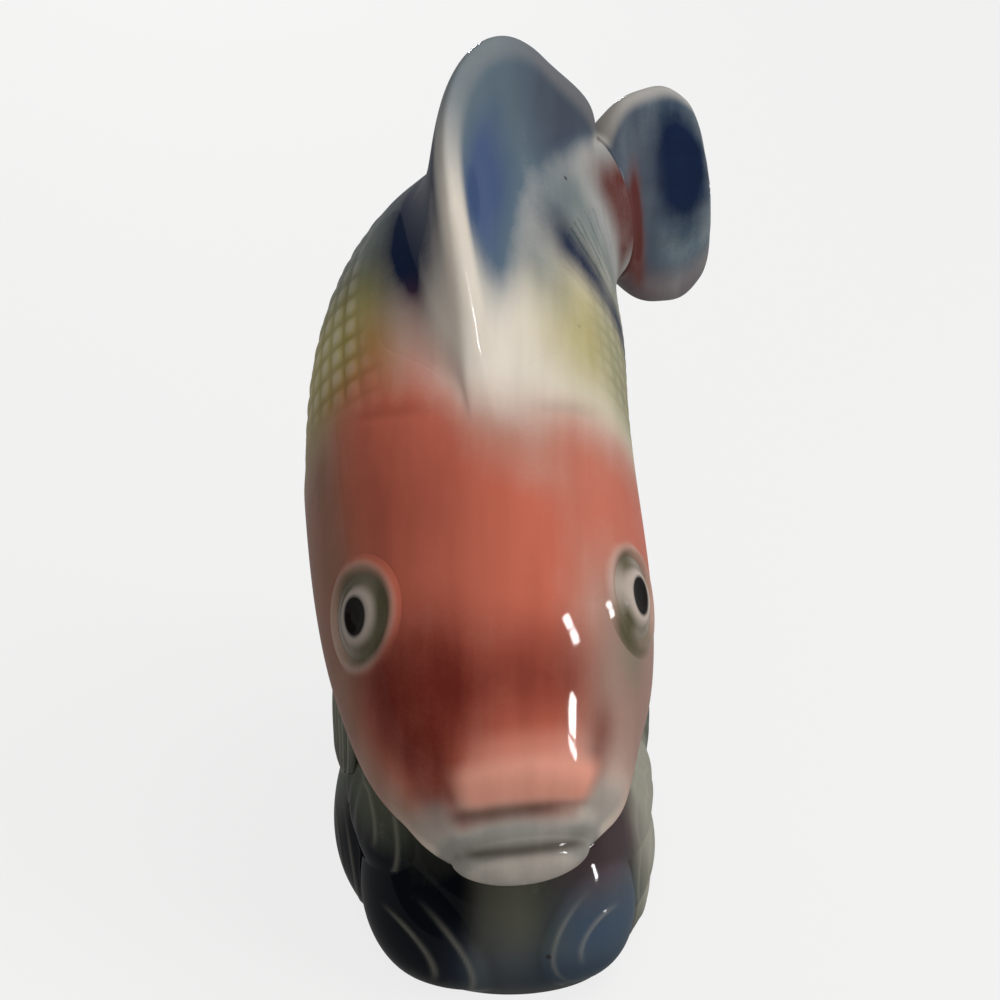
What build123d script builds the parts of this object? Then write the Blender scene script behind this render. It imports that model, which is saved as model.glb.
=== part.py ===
from build123d import *
import os
from math import cos, hypot, radians, sin, sqrt

# Glazed earthenware fish on a wave-shaped foot. Millimetres, +Z up, nose towards -Y.
# The origin is the middle of the foot, on the table. Cast and pressed pieces are
# stuck together with a thin layer of slip, which is left open as the joint.

# Fish body: its middle line rises from the nose to the tail root and curls to +X
spine_reach = 107.5
spine_rise = 57.4
spine_curl = 20.0
nose_ahead = 46.0
nose_height = 34.0
body_half_width = 26.2
back_height = 29.0
belly_depth = 28.0
snout_length = 4.5

# Clay walls, slip joints and cuts
wall = 4.5
slip = 0.25
overrun = 6.0

# Mouth slit between the lips
slit_height = 1.4
slit_depth = 2.6

# Eyes: a ring-shaped lid around a domed eyeball, both in one flat-bottomed socket
lid_radius = 8.6
eyeball_radius = 6.2
socket_depth = 2.4
lid_rise = 0.7
eyeball_rise = 1.1

# Dorsal fin along the back
fin_height = 23.5
fin_edge_half = 2.3
fin_root_half = 5.2
fin_sink = 3.0
fin_tip_offset = 1.6

# Tail fin
tail_length = 22.0
tail_half_height = 20.6
tail_half_thickness = 8.0
tail_droop = 4.7

# Pectoral fins, down both sides of the foot
pectoral_length = 21.0
pectoral_half_chord = 9.0
pectoral_half_thickness = 1.9
pectoral_sink = 2.5

# Wave foot
foot_half_width = 25.8
foot_half_length = 43.5
foot_lap = 4.2
drain_radius = 6.0
drain_back = 16.0
vent_radius = 3.0

# Waves in relief on the foot's side: sizes of the largest, the valleys between them, and the
# height over which they start from the table
wave_half_width = 18.0
wave_half_height = 12.0
wave_stand = 2.8
wave_valley = 1.8
wave_start = 2.5
wave_tilt = 20.0

# Sections of the body from nose to tail root; the third is the pad of the snout. Side, reach
# and rise of the middle line are shares of the curl, reach and rise; half width, back and
# belly of theirs.
body_shares = [
    (0.24, 0.000, 0.000, 0.40, 0.17, 0.19),
    (0.21, 0.033, 0.031, 0.56, 0.36, 0.30),
    (0.19, 0.064, 0.065, 0.66, 0.50, 0.40),
    (0.11, 0.145, 0.152, 0.83, 0.71, 0.61),
    (0.06, 0.214, 0.230, 0.92, 0.86, 0.75),
    (-0.03, 0.335, 0.369, 0.99, 0.97, 0.91),
    (-0.12, 0.465, 0.516, 1.00, 1.00, 1.00),
    (-0.16, 0.595, 0.659, 0.99, 0.98, 1.00),
    (-0.10, 0.716, 0.784, 0.95, 0.92, 0.91),
    (0.10, 0.823, 0.885, 0.84, 0.81, 0.75),
    (0.41, 0.907, 0.948, 0.65, 0.67, 0.61),
    (0.73, 0.963, 0.983, 0.46, 0.54, 0.50),
    (1.00, 1.000, 1.000, 0.31, 0.45, 0.44),
]
snout_shares = [0.97, 0.85, 0.60, 0.0]
section_points = 16
section_fullness = 0.94

# Dorsal fin: height at each body section that it crosses, how far its edge leans to -X there,
# and how far it sweeps back
fin_first_index = 6
fin_height_shares = [0.05, 0.49, 0.90, 1.00, 0.71, 0.36]
fin_lean_shares = [1.0, 1.0, 0.8, -0.2, -1.8, -3.4]
fin_sweep = 32.0
fin_round_share = 0.75

# Blade sections from root to tip: place along, half chord and half thickness as shares
tail_shares = [
    (0.00, 0.64, 1.00),
    (0.22, 0.91, 0.55),
    (0.45, 0.99, 0.44),
    (0.66, 0.99, 0.39),
    (0.84, 0.86, 0.35),
    (0.95, 0.56, 0.28),
    (1.00, 0.20, 0.14),
]
pectoral_shares = [
    (0.00, 0.58, 1.00),
    (0.30, 0.78, 0.95),
    (0.60, 0.98, 0.85),
    (0.82, 0.92, 0.70),
    (0.95, 0.60, 0.50),
    (1.00, 0.22, 0.28),
]
blade_points = 12

# Where the eyes and pectoral fins stand on the body: section, share of the way to the
# next one, and degrees up from the side
eye_place_share = 0.44
eye_index = 4
eye_angle = 35.0
pectoral_index = 5
pectoral_angle = -38.0
vent_index = 5

# The foot's top runs along the belly between two body sections, one lap above it
deck_indices = (4, 7)
# Where the pectoral fins point to on the foot: shares of its half width, half length and
# front height
pectoral_aim_shares = (1.00, -0.26, 0.90)
foot_middle_share = 0.03

# Plan of the foot, clockwise from the front, as shares of its half width and half length
foot_plan_shares = [
    (0.12, -0.97), (-0.50, -0.83), (-0.85, -0.46), (-0.97, -0.09), (-0.97, 0.32),
    (-0.81, 0.71), (-0.39, 0.99), (0.16, 1.03), (0.66, 0.90), (0.93, 0.60),
    (1.03, 0.18), (1.03, -0.28), (0.95, -0.62), (0.70, -0.87),
]
foot_points = 40
# Swell of the foot's side: share of the height, share of the plan
foot_swell_shares = [
    (0.0, 0.92), (0.13, 0.968), (0.28, 0.996), (0.43, 1.0),
    (0.58, 0.99), (0.73, 0.97), (0.87, 0.94), (1.0, 0.90),
]
# Waves on the foot: place round it from the front as a share of half its girth, + to +X,
# then height, half width, half height and stand as shares of the largest wave's
wave_shares = [
    (-0.17, 0.67, 1.00, 1.00, 1.00),
    (0.15, 0.92, 0.72, 0.83, 0.80),
    (-0.30, 2.00, 0.94, 0.75, 0.80),
    (-0.43, 0.75, 0.89, 0.92, 0.86),
    (-0.56, 2.17, 0.94, 0.92, 0.80),
    (-0.68, 0.75, 0.89, 0.92, 0.86),
    (-0.81, 2.33, 0.89, 1.00, 0.80),
    (-0.92, 0.75, 0.89, 0.92, 0.86),
    (-1.00, 2.50, 0.83, 1.00, 0.80),
    (0.34, 0.42, 0.72, 0.58, 0.80),
    (0.33, 1.17, 0.67, 0.58, 0.86),
    (0.36, 1.92, 0.72, 0.58, 0.86),
    (0.55, 0.83, 0.89, 0.92, 0.86),
    (0.52, 2.42, 0.83, 0.83, 0.80),
    (0.75, 2.17, 0.89, 1.00, 0.80),
    (0.80, 0.75, 0.89, 0.92, 0.86),
]

LAST = len(body_shares) - 1
UP = Vector(0, 0, 1)


def middle(index):
    """Point of the body's middle line at one section."""
    side, reach, rise = body_shares[index][:3]
    return Vector(spine_curl * side, spine_reach * reach - nose_ahead, nose_height + spine_rise * rise)


def section_plane(index):
    """Plane across the body: X to the side, Y to the back, Z towards the nose."""
    ahead = middle(max(index - 1, 0)) - middle(min(index + 1, LAST))
    toward_nose = ahead.normalized()
    back = (UP - toward_nose * UP.dot(toward_nose)).normalized()
    return Plane(middle(index), x_dir=back.cross(toward_nose), z_dir=toward_nose)


def signed_power(value, power):
    """Power of a value that keeps its sign."""
    return abs(value) ** power * (1 if value >= 0 else -1)


def closed_face(points):
    """Face inside a smooth closed curve through the points."""
    return make_face(Spline(*points, periodic=True))


def body_section(plane, half_width, back, belly):
    """Egg-shaped section of the body: fuller than an ellipse, with its own back and belly."""
    points = []
    for step in range(section_points):
        turn = radians(360 * step / section_points)
        up = sin(turn)
        across = half_width * signed_power(cos(turn), section_fullness)
        points.append(plane.from_local_coords(Vector(across, (back if up >= 0 else belly) * up)))
    return closed_face(points)


def body_sizes(index):
    """Half width, back and belly of one section."""
    half_width, back, belly = body_shares[index][3:]
    return body_half_width * half_width, back_height * back, belly_depth * belly


def snout(grow=0):
    """Rounded end in front of the nose section, its sections on an ellipse."""
    sections = []
    for share in snout_shares:
        plane = section_plane(0).offset((snout_length + grow) * share)
        sections.append(body_section(plane, *[size * sqrt(1 - share**2) + grow for size in body_sizes(0)]))
    return loft(sections)


def trunk(grow=0):
    """Solid of the whole body, from the rounded snout to the tail root, grown all round."""
    sections = []
    for index in range(LAST + 1):
        plane = section_plane(index).offset(-grow if index == LAST else 0)
        sections.append(body_section(plane, *[size + grow for size in body_sizes(index)]))
    return loft(sections) + snout(grow)


def trunk_hollow():
    """Hollow of the body, one wall inside it, closed at the snout and the tail."""
    inner = range(2, LAST)
    return loft([body_section(section_plane(i), *[size - wall for size in body_sizes(i)]) for i in inner])


def surface_plane(solid, place, outward):
    """Plane on the solid's skin, where a ray from the place leaves it, facing out."""
    point, normal = solid.find_intersection_points(Axis(place, outward))[-1]
    return Plane(point, z_dir=normal if normal.dot(outward) > 0 else -normal)


def body_ray(index, share, angle, side):
    """Place on the middle line and the direction out to one side at an angle."""
    near, far = section_plane(index), section_plane(min(index + 1, LAST))
    place = near.origin * (1 - share) + far.origin * share
    outward = near.x_dir * (side * cos(radians(angle))) + near.y_dir * sin(radians(angle))
    return place, outward


def eye_plane(side):
    """Plane on the head at the middle of one eye."""
    return surface_plane(BODY_SKIN, *body_ray(eye_index, eye_place_share, eye_angle, side))


def eye_post(plane, radius):
    """Round post that stands on the socket's floor and passes out through the skin."""
    post = Cylinder(radius, socket_depth + overrun, align=(Align.CENTER, Align.CENTER, Align.MIN))
    return plane.offset(-socket_depth) * post


def eyelid(side):
    """Ring that follows the curve of the head, seated in the socket."""
    seat = eye_plane(side).offset(slip)
    return (eye_post(seat, lid_radius) - eye_post(seat, eyeball_radius + slip)) & trunk(lid_rise)


def eyeball(side):
    """Domed disc inside the lid."""
    return eye_post(eye_plane(side).offset(slip), eyeball_radius) & trunk(eyeball_rise)


def mouth_slit():
    """Level cut across the snout between the lips."""
    width = 2 * body_half_width
    cut = Box(width, slit_height, slit_depth + overrun, align=(Align.CENTER, Align.CENTER, Align.MIN))
    return section_plane(0).offset(snout_length - slit_depth) * cut


def belly_point(index):
    """Lowest point of one body section."""
    plane = section_plane(index)
    return plane.origin - plane.y_dir * body_sizes(index)[2]


def vent():
    """Hole through the belly into the foot, which lets air out of the body in the kiln."""
    plane = Plane(belly_point(vent_index), z_dir=section_plane(vent_index).y_dir)
    return plane * Cylinder(vent_radius, 4 * wall)


def deck_height(along):
    """Height of the foot's top at a share of its half length, in line with the belly."""
    front, rear = [belly_point(index) for index in deck_indices]
    slope = (rear.Z - front.Z) / (rear.Y - front.Y)
    return front.Z + foot_lap + slope * (foot_half_length * along - front.Y)


def fish_body():
    """Hollow body with its mouth, eye sockets and vent."""
    sockets = [eye_post(eye_plane(side), lid_radius + slip) for side in (-1, 1)]
    return BODY_SKIN - trunk_hollow() - sockets - mouth_slit() - vent()


def dorsal_section(index, height, lean, sweep):
    """Section of the dorsal fin: wide at its root in the back, with a rounded edge."""
    base = section_plane(index)
    root = base.origin + base.y_dir * body_sizes(index)[1]
    upright = base.y_dir * cos(radians(sweep)) - base.z_dir * sin(radians(sweep))
    plane = Plane(root, x_dir=base.x_dir, z_dir=base.x_dir.cross(upright))
    shoulder = height - fin_edge_half * fin_round_share
    outline = [(fin_root_half, -fin_sink), (fin_edge_half - lean, shoulder), (-lean, height),
               (-fin_edge_half - lean, shoulder), (-fin_root_half, -fin_sink)]
    low_right, right, top, left, low_left = [plane.from_local_coords(Vector(*point)) for point in outline]
    return make_face([Line(low_right, right), ThreePointArc(right, top, left),
                      Line(left, low_left), Line(low_left, low_right)])


def dorsal_fin():
    """Upright fin along the back, cut to the body so that it sits on the slip."""
    last_step = len(fin_height_shares) - 1
    sections = []
    for step, share in enumerate(fin_height_shares):
        sweep = fin_sweep * step / last_step
        lean = fin_tip_offset * fin_lean_shares[step] * share
        sections.append(dorsal_section(fin_first_index + step, fin_height * share, lean, sweep))
    return loft(sections) - BODY_CLEAR


def blade(root, table, length, half_chord, half_thickness, droop=0):
    """Flat fin: oval sections along the root plane's Z, chord along Y, drooping towards -Y."""
    sections = []
    for along, chord, thick in table:
        points = []
        for step in range(blade_points):
            turn = radians(360 * step / blade_points)
            across = half_thickness * thick * cos(turn)
            points.append((across, half_chord * chord * sin(turn) - droop * along, length * along))
        sections.append(closed_face([root.from_local_coords(Vector(*point)) for point in points]))
    return loft(sections)


def tail_fin():
    """Tail fan, butted against the end of the body."""
    end = section_plane(LAST)
    root = Plane(end.origin - end.z_dir * slip, x_dir=end.x_dir * -1, z_dir=end.z_dir * -1)
    return blade(root, tail_shares, tail_length, tail_half_height, tail_half_thickness, tail_droop)


def pectoral_blade(side, grow=0):
    """Pectoral fin before it is cut to the body: from the flank down to the foot's side."""
    skin = surface_plane(BODY_SKIN, *body_ray(pectoral_index, 0, pectoral_angle, side))
    out, ahead, up = pectoral_aim_shares
    across = foot_half_width * (foot_middle_share + side * out)
    aim = Vector(across, foot_half_length * ahead, deck_height(-1) * up)
    axis = (aim - skin.origin).normalized()
    nose = section_plane(pectoral_index).z_dir
    chord = (nose - axis * nose.dot(axis)).normalized()
    root = Plane(skin.origin - axis * pectoral_sink, x_dir=chord.cross(axis), z_dir=axis)
    return blade(root, pectoral_shares, pectoral_length + grow,
                 pectoral_half_chord + grow, pectoral_half_thickness + grow)


def pectoral_fin(side):
    """Pectoral fin cut to the body."""
    return pectoral_blade(side) - BODY_CLEAR


def wave_height(place, height, half_girth):
    """How far the waves stand out at a place round the foot: the highest of several tilted domes."""
    highest = 0
    for middle, level, width, tall, stand in wave_shares:
        tilt = radians(wave_tilt if middle > 0 else -wave_tilt)
        across = half_girth * ((place - middle + 1) % 2 - 1)
        above = height - wave_half_height * level
        along = across * cos(tilt) + above * sin(tilt)
        upward = above * cos(tilt) - across * sin(tilt)
        reach = hypot(along / (wave_half_width * width), upward / (wave_half_height * tall))
        highest = max(highest, wave_stand * stand * (1 - reach**2))
    return highest * min(height / wave_start, 1)


def foot_block(inset=0):
    """Swelling block on the foot's plan, its top sloping up to the rear; the outermost one has waves."""
    corners = [(foot_half_width * x, foot_half_length * y) for x, y in foot_plan_shares]
    outline = Spline(*corners, periodic=True)
    half_girth = outline.length / 2
    sections = []
    for level, swell in foot_swell_shares:
        points = []
        for step in range(foot_points):
            share = step / foot_points
            place = outline.position_at(share)
            ahead = outline.tangent_at(share)
            height = deck_height(place.Y / foot_half_length) * level
            out = -inset if inset else wave_height(-2 * share, height, half_girth) - wave_valley
            point = place * swell + Vector(-ahead.Y, ahead.X) * out
            height = deck_height(point.Y / foot_half_length) * level
            points.append(point + Vector(0, 0, height + inset * (1 - 2 * level)))
        sections.append(closed_face(points))
    return loft(sections)


def wave_base():
    """Hollow foot: saddle for the belly, seats for the pectoral fins, drain and vent."""
    hollow = foot_block(wall + wave_valley) - trunk(slip + wall)
    drain = Pos(0, drain_back) * Cylinder(drain_radius, 4 * wall)
    seats = [pectoral_blade(side, slip) for side in (-1, 1)]
    return foot_block() - BODY_CLEAR - hollow - seats - drain - vent()


BODY_SKIN = trunk()
BODY_CLEAR = trunk(slip)

pieces = {
    "fish_body": fish_body(),
    "wave_base": wave_base(),
    "dorsal_fin": dorsal_fin(),
    "tail_fin": tail_fin(),
    "pectoral_fin_left": pectoral_fin(-1),
    "pectoral_fin_right": pectoral_fin(1),
    "eyelid_left": eyelid(-1),
    "eyelid_right": eyelid(1),
    "eyeball_left": eyeball(-1),
    "eyeball_right": eyeball(1),
}

os.makedirs("parts", exist_ok=True)
for name, piece in pieces.items():
    export_step(piece, f"parts/{name}.step")
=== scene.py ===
from math import cos, radians, sin
from types import SimpleNamespace

import bpy
import numpy as np
from bpy.props import FloatProperty, FloatVectorProperty, PointerProperty
from bpy.types import Operator, Panel, PropertyGroup
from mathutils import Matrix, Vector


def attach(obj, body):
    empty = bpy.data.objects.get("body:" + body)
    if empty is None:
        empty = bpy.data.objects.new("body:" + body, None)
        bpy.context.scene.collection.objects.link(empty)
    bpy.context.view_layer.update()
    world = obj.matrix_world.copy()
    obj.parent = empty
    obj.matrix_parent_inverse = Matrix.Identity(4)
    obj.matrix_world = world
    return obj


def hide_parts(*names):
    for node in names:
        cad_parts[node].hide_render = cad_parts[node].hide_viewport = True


bl_info = {
    "name": "Glazed Fish Figurine",
    "version": (1, 0, 0),
    "blender": (4, 5, 0),
    "location": "View3D > Sidebar > Figurine",
    "description": "Dresses a slip-cast fish with its relief, airbrushed colours and gloss glaze",
    "category": "Object",
}

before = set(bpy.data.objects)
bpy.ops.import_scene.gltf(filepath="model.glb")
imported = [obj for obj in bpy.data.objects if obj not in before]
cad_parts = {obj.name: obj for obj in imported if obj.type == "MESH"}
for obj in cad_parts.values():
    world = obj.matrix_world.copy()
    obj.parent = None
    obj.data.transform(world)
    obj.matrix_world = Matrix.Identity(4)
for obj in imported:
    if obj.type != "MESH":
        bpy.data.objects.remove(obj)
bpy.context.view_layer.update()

# Shapes are worked out in millimetres and put into the meshes in metres
MM = 0.001

# Body sections from nose to tail root: side, reach and rise of the middle line as shares
# of the curl, reach and rise, then half width, back and belly as shares of theirs
BODY_SHARES = (
    (0.24, 0.000, 0.000, 0.40, 0.17, 0.19),
    (0.21, 0.033, 0.031, 0.56, 0.36, 0.30),
    (0.19, 0.064, 0.065, 0.66, 0.50, 0.40),
    (0.11, 0.145, 0.152, 0.83, 0.71, 0.61),
    (0.06, 0.214, 0.230, 0.92, 0.86, 0.75),
    (-0.03, 0.335, 0.369, 0.99, 0.97, 0.91),
    (-0.12, 0.465, 0.516, 1.00, 1.00, 1.00),
    (-0.16, 0.595, 0.659, 0.99, 0.98, 1.00),
    (-0.10, 0.716, 0.784, 0.95, 0.92, 0.91),
    (0.10, 0.823, 0.885, 0.84, 0.81, 0.75),
    (0.41, 0.907, 0.948, 0.65, 0.67, 0.61),
    (0.73, 0.963, 0.983, 0.46, 0.54, 0.50),
    (1.00, 1.000, 1.000, 0.31, 0.45, 0.44),
)
SECTION_FULLNESS = 0.94
# The skin's slope is read no nearer to the snout's tip than this share of it
SNOUT_HOLD = 0.98

# Folds of the face: millimetres past the mouth line, half width, height, and the degrees
# from the top of the head to which the fold reaches
FACE_FOLDS = (
    (-0.1, 1.10, -0.50, 58),
    (2.2, 1.10, 0.40, 60),
    (4.1, 0.85, -0.50, 46),
    (8.6, 2.80, 0.60, 34),
)
# The face is drawn in by a tuck that ends at a place along the body. A fold ends over some
# degrees either side of its reach
FACE_TUCK = 0.08
TUCK_END = 6
FOLD_SOFT = 10
# Relief starts over the front of the snout and is full at this share of it
RELIEF_START = 0.6
# Mouth line in the middle, and how far back it bends at the corners
MOUTH_MIDDLE = -1.7
MOUTH_CURVE = 1.4
# Shade in the mouth slit and in the fold above it: strength, place past the mouth line and
# spread, the degrees from the top of the head between which each runs, and how dark both are
SLIT_SHADE = (0.95, -0.2, 1.15)
SLIT_ENDS = (40, 88)
LIP_SHADE = (0.7, 4.1, 0.8)
LIP_REACH = (-44, 24, 16)
MOUTH_SHADE = 0.90

# Eyes: degrees from the top of the head, and the depth of their sockets, whose edge runs from
# outside the eyeball's radius to inside the lid's
EYE_BEARING = 55
SOCKET_DEPTH = 1.6
SOCKET_EDGE = (0.2, 0.6)

# Gill cover's edge: millimetres along the body on the back, how much further back it lies on
# the flank and how much further forward under the throat, within these degrees from the back
GILL_BACK = 59
GILL_FLANK = 7
GILL_THROAT = 26
THROAT_DEGREES = (70, 150)
# The edge stands out on the nape, less strongly, and on the flank, between these degrees
NAPE_STRENGTH = 0.8
NAPE_DEGREES = (18, 44, 10)
GILL_STARTS = (80, 104)
GILL_ENDS = (135, 160)
# The edge is a step this far either side, from which the cover fades forwards over a length.
# Behind it lies a groove with some shade: depth, place, spread
GILL_STEP = 1.0
GILL_FADE = 9
GILL_GROOVE = (0.22, 1.4, 1.5)
GILL_SHADE = (0.24, 1.2, 1.4)

# Scales: where they start behind the gill cover, where they start in degrees from the back on
# the right and on the left, where they end, how faint the right ones are, and their fullness
SCALE_STARTS = (1.5, 7)
SCALES_RIGHT = (40, 70)
SCALES_LEFT = (25, 43)
SCALE_ENDS = (94, 114)
RIGHT_SCALES = 0.45
SCALE_FULLNESS = 0.7
# Places along the body at which its girth is read for them
GIRTH_PLACES = 600
# They end beside the dorsal fin, over these millimetres past its rim
SCALES_BESIDE = (0.5, 4.0)
# Shares of their height that count as groove and as top, and the shade in the grooves
GROOVE_HEIGHTS = (0.05, 0.60)
TOP_HEIGHTS = (0.45, 0.95)
GROOVE_SHADE = 0.28

# Mesh of the body: columns round it, rows on the snout, and rows over the face, the head and the
# rear, which end at these millimetres along it
BODY_COLUMNS = 284
SNOUT_ROWS = 24
FACE_ROWS = 84
FACE_END = 24
HEAD_ROWS = 76
HEAD_END = 62
REAR_ROWS = 152
# First row's angle from the snout's pole, and how far columns are drawn together on the back
POLE_ANGLE = 3
COLUMN_DRAW = 0.3

# Airbrush passes on the body: from and to along it, soft edge, from and to in degrees round
# it from the top of the back to the right, soft edge, slant in millimetres a degree, strength
BODY_SPRAYS = {
    "blush": (
        (8, 60, 8, -125, 125, 16, 0, 0.90),
        (-8, 8, 4, -140, 140, 16, 0, 0.15),
    ),
    "taupe": (
        (14, 58, 9, 50, 130, 16, 0, 0.70),
        (8, 36, 6, 34, 120, 12, 0, 0.75),
        # This pass is a painted reflection, the grey haze of a window on the glaze right of the
        # snout
        (10, 26, 5, 16, 42, 10, 0, 0.30),
    ),
    "yellow": (
        (63, 92, 7, -108, -24, 10, 0, 0.85),
        (66, 95, 10, 26, 98, 18, 0, 0.64),
    ),
    "green": (
        # This pass is partly green paint and partly painted shade where the right flank turns away
        (66, 94, 9, 56, 110, 12, 0, 0.50),
        (20, 28, 5, 42, 62, 9, 0, 0.42),
        (86, 122, 8, -125, -24, 12, 0, 0.60),
        (106, 124, 5, 30, 95, 14, 0.14, 0.55),
    ),
    "slate": (
        (84, 110, 9, 0, 40, 12, 0, 0.62),
        (104, 160, 6, 8, 200, 20, 0, 0.55),
        (98, 160, 8, -200, -60, 20, 0, 0.60),
        (88, 112, 8, -70, -20, 12, 0, 0.55),
    ),
    "navy": (
        (79, 160, 12, -30, 2, 15, 0, 0.97),
        (102, 160, 8, -110, -10, 20, 0, 0.75),
        (101, 111, 5, 32, 95, 14, 0.14, 0.80),
    ),
    "brick": (
        (122, 150, 4, 36, 116, 18, 0, 0.90),
    ),
    "coral": (
        (8, 53, 10, -50, 24, 15, 0.3, 0.95),
        (38, 67, 7, -56, -8, 12, 0, 0.74),
        (60, 76, 9, -42, -10, 10, 0, 0.55),
        (34, 60, 9, -100, -30, 16, 0, 0.50),
        (36, 58, 9, 20, 90, 16, 0, 0.72),
        (5, 24, 4, -76, 6, 12, 0, 0.80),
    ),
    "umber": (
        (22, 68, 11, -130, -50, 20, 0, 0.80),
        (6, 26, 5, -110, -66, 12, 0, 0.45),
        (3, 9, 2, -90, -50, 10, 0, 0.40),
    ),
    # Maroon is partly deep red paint and partly painted shade, in the hollow between forehead and
    # snout pad, over the left of the forehead and in the groove under the pad
    "maroon": (
        (13, 25, 6, -64, 30, 14, 0, 0.66),
        (34, 58, 12, -46, -6, 14, 0, 0.30),
        (11, 30, 6, -64, -14, 14, 0, 0.66),
        (4, 15, 4, 32, 45, 9, 0, 0.55),
        (3, 16, 3, -60, -32, 9, 0, 0.62),
        (1.4, 3.8, 0.9, -48, 40, 8, 0, 0.48),
    ),
    "salmon": (
        (3.6, 8.4, 1.4, -31, 40, 8, 0, 0.95),
        (6.0, 11.0, 2.0, -20, 28, 10, 0, 0.40),
    ),
    "bare": (
        (-2.9, 1.6, 0.8, -180, 181, 1, 0, 0.92),
        # The snout's tip keeps more white, a painted reflection of light from below on the chin's
        # rim
        (-8, -2.9, 0.8, -180, 181, 1, 0, 0.66),
        (0.5, 7.0, 1.6, 44, 76, 8, 0, 0.60),
        (0.5, 5.5, 1.6, -84, -46, 8, 0, 0.55),
    ),
}

# Brush strokes on the tail's stalk: millimetres from one to the next, and slant in
# millimetres a degree
STROKE_PITCH = 2.4
STROKE_SLANT = 0.20
STROKE_STRENGTH = 0.38
# They waver and break as two sines each: size, then phase a degree round and a millimetre along
STROKE_WAVER = ((0.7, 0.31, 0.9), (0.5, 0.13, -1.7))
STROKE_BREAKS = ((1.0, 0.19, 2.1), (1.0, 0.07, -1.3))
# Heights of the sines at which a stroke and its breaks begin and are full
STROKE_EDGE = (-0.1, 1.0)
BREAK_EDGE = (-1.2, 0.8)
# They lie between these places along the body and these degrees round it
STROKE_ALONG = (95, 119, 7)
STROKE_ROUND = (8, 80, 14)
# Tops of the scales hold this much less of the yellow and green
SCALE_RUB = 0.35

# Green brush strokes round the left eye and the right: degrees from the tail's side towards
# the brow, half width in degrees, and strength
EYE_STROKES = {
    -1: ((90, 75, 0.85), (0, 55, 0.75), (180, 60, 0.85)),
    1: ((35, 38, 0.78), (150, 42, 0.92), (215, 40, 0.55), (330, 40, 0.35)),
}
# How far the right eye's ring is drawn out towards the nose, as a share of the lid's width,
# its middle and its half width in degrees
EYE_DROOP = {-1: 0.0, 1: 0.6}
DROOP_BEARING = 165
DROOP_SPREAD = 50

# Mesh of an eyelid, round the eye and round its section
LID_ROWS = 128
LID_COLUMNS = 40
# It starts this far inside the eyeball's rim. Its section has a lean, an underside as a share
# of the rise, and a rim that is sunk into the head
LID_LAP = 0.5
LID_LEAN = 0.75
LID_UNDER = 0.6
LID_SINK = 0.10
LID_RIM = (0.8, 1.0)
# Shares of its width over which the green fades and the head's colours come in, from a least
LID_BRUSHED = (0.04, 0.60)
LID_HEAD = (0.35, 0.85)
LID_HEAD_LEAST = 0.50

# Mesh of an eyeball, from its pole outwards and round it
BALL_ROWS = 56
BALL_COLUMNS = 112
BALL_POLE = 0.02
# It turns down at its rim. Radii over which its ring falls, its pupil is dished and the green
# starts, the dish's depth as a share of the rise, and how far it is sunk and drops
BALL_STRETCH = 1.06
BALL_UNDER = (0.94, 1.0)
BALL_RING = (3.1, 5.6)
BALL_DISH = (0.8, 3.0)
BALL_BRUSHED = (3.3, 5.0)
DISH_DEPTH = 0.3
BALL_SINK = 0.05
BALL_DROP = 1.2
# The pupil is longer along the head than round it, with a soft edge inside and outside its radius
PUPIL_OVAL = 0.85
PUPIL_EDGE = (0.25, 0.65)
# Thin washes on the eyeballs, left and right
BALL_WASHES = {
    "blush": {-1: 0.35, 1: 0.35},
    "umber": {-1: 0.35, 1: 0.0},
    "bare": {-1: 0.55, 1: 0.35},
}

# Tail and side fins from root to tip: place along, half chord and half thickness as shares
TAIL_SHARES = (
    (0.00, 0.64, 1.00), (0.22, 0.91, 0.55), (0.45, 0.99, 0.44), (0.66, 0.99, 0.39),
    (0.84, 0.86, 0.35), (0.95, 0.56, 0.28), (1.00, 0.20, 0.14),
)
PECTORAL_SHARES = (
    (0.00, 0.58, 1.00), (0.30, 0.78, 0.95), (0.60, 0.98, 0.85), (0.82, 0.92, 0.70),
    (0.95, 0.60, 0.50), (1.00, 0.22, 0.28),
)
# Where a side fin points: out and ahead as shares of the foot's half sizes, and up as a share
# of the deck's height at the front
PECTORAL_AIM_SHARES = (0.92, -0.26, 0.90)

# Mesh of a flat fin, from root to tip and round its section
BLADE_ROWS = 90
BLADE_COLUMNS = 140
# A fin's root starts this share of its length inside what carries it. Its section starts at a
# share of the table's, swells as it leaves the skin up to this share of the tuck, and falls
# again over a share of the length
BLADE_TUCK = 0.07
ROOT_SHARE = 0.90
ROOT_SWELL = 0.14
ROOT_OUT = 0.4
ROOT_FALL = 0.04
ROOT_LENGTH = 0.3
# Its rims are sharper further out, and its chord never closes
RIM_SHARPER = 0.14
RIM_LENGTH = 0.4
LEAST_CHORD = 0.02
# Rays across a flat fin: count of half waves to a half chord, the part of the fin's length that
# they cover, how they thin at the rims, and their heights on the tail and the side fins
RAY_COUNT = 7
RAY_REACH = (0.2, 1.1, 0.15)
RAY_THIN = 0.5
TAIL_RAYS = 0.10
PECTORAL_RAYS = 0.3

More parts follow.
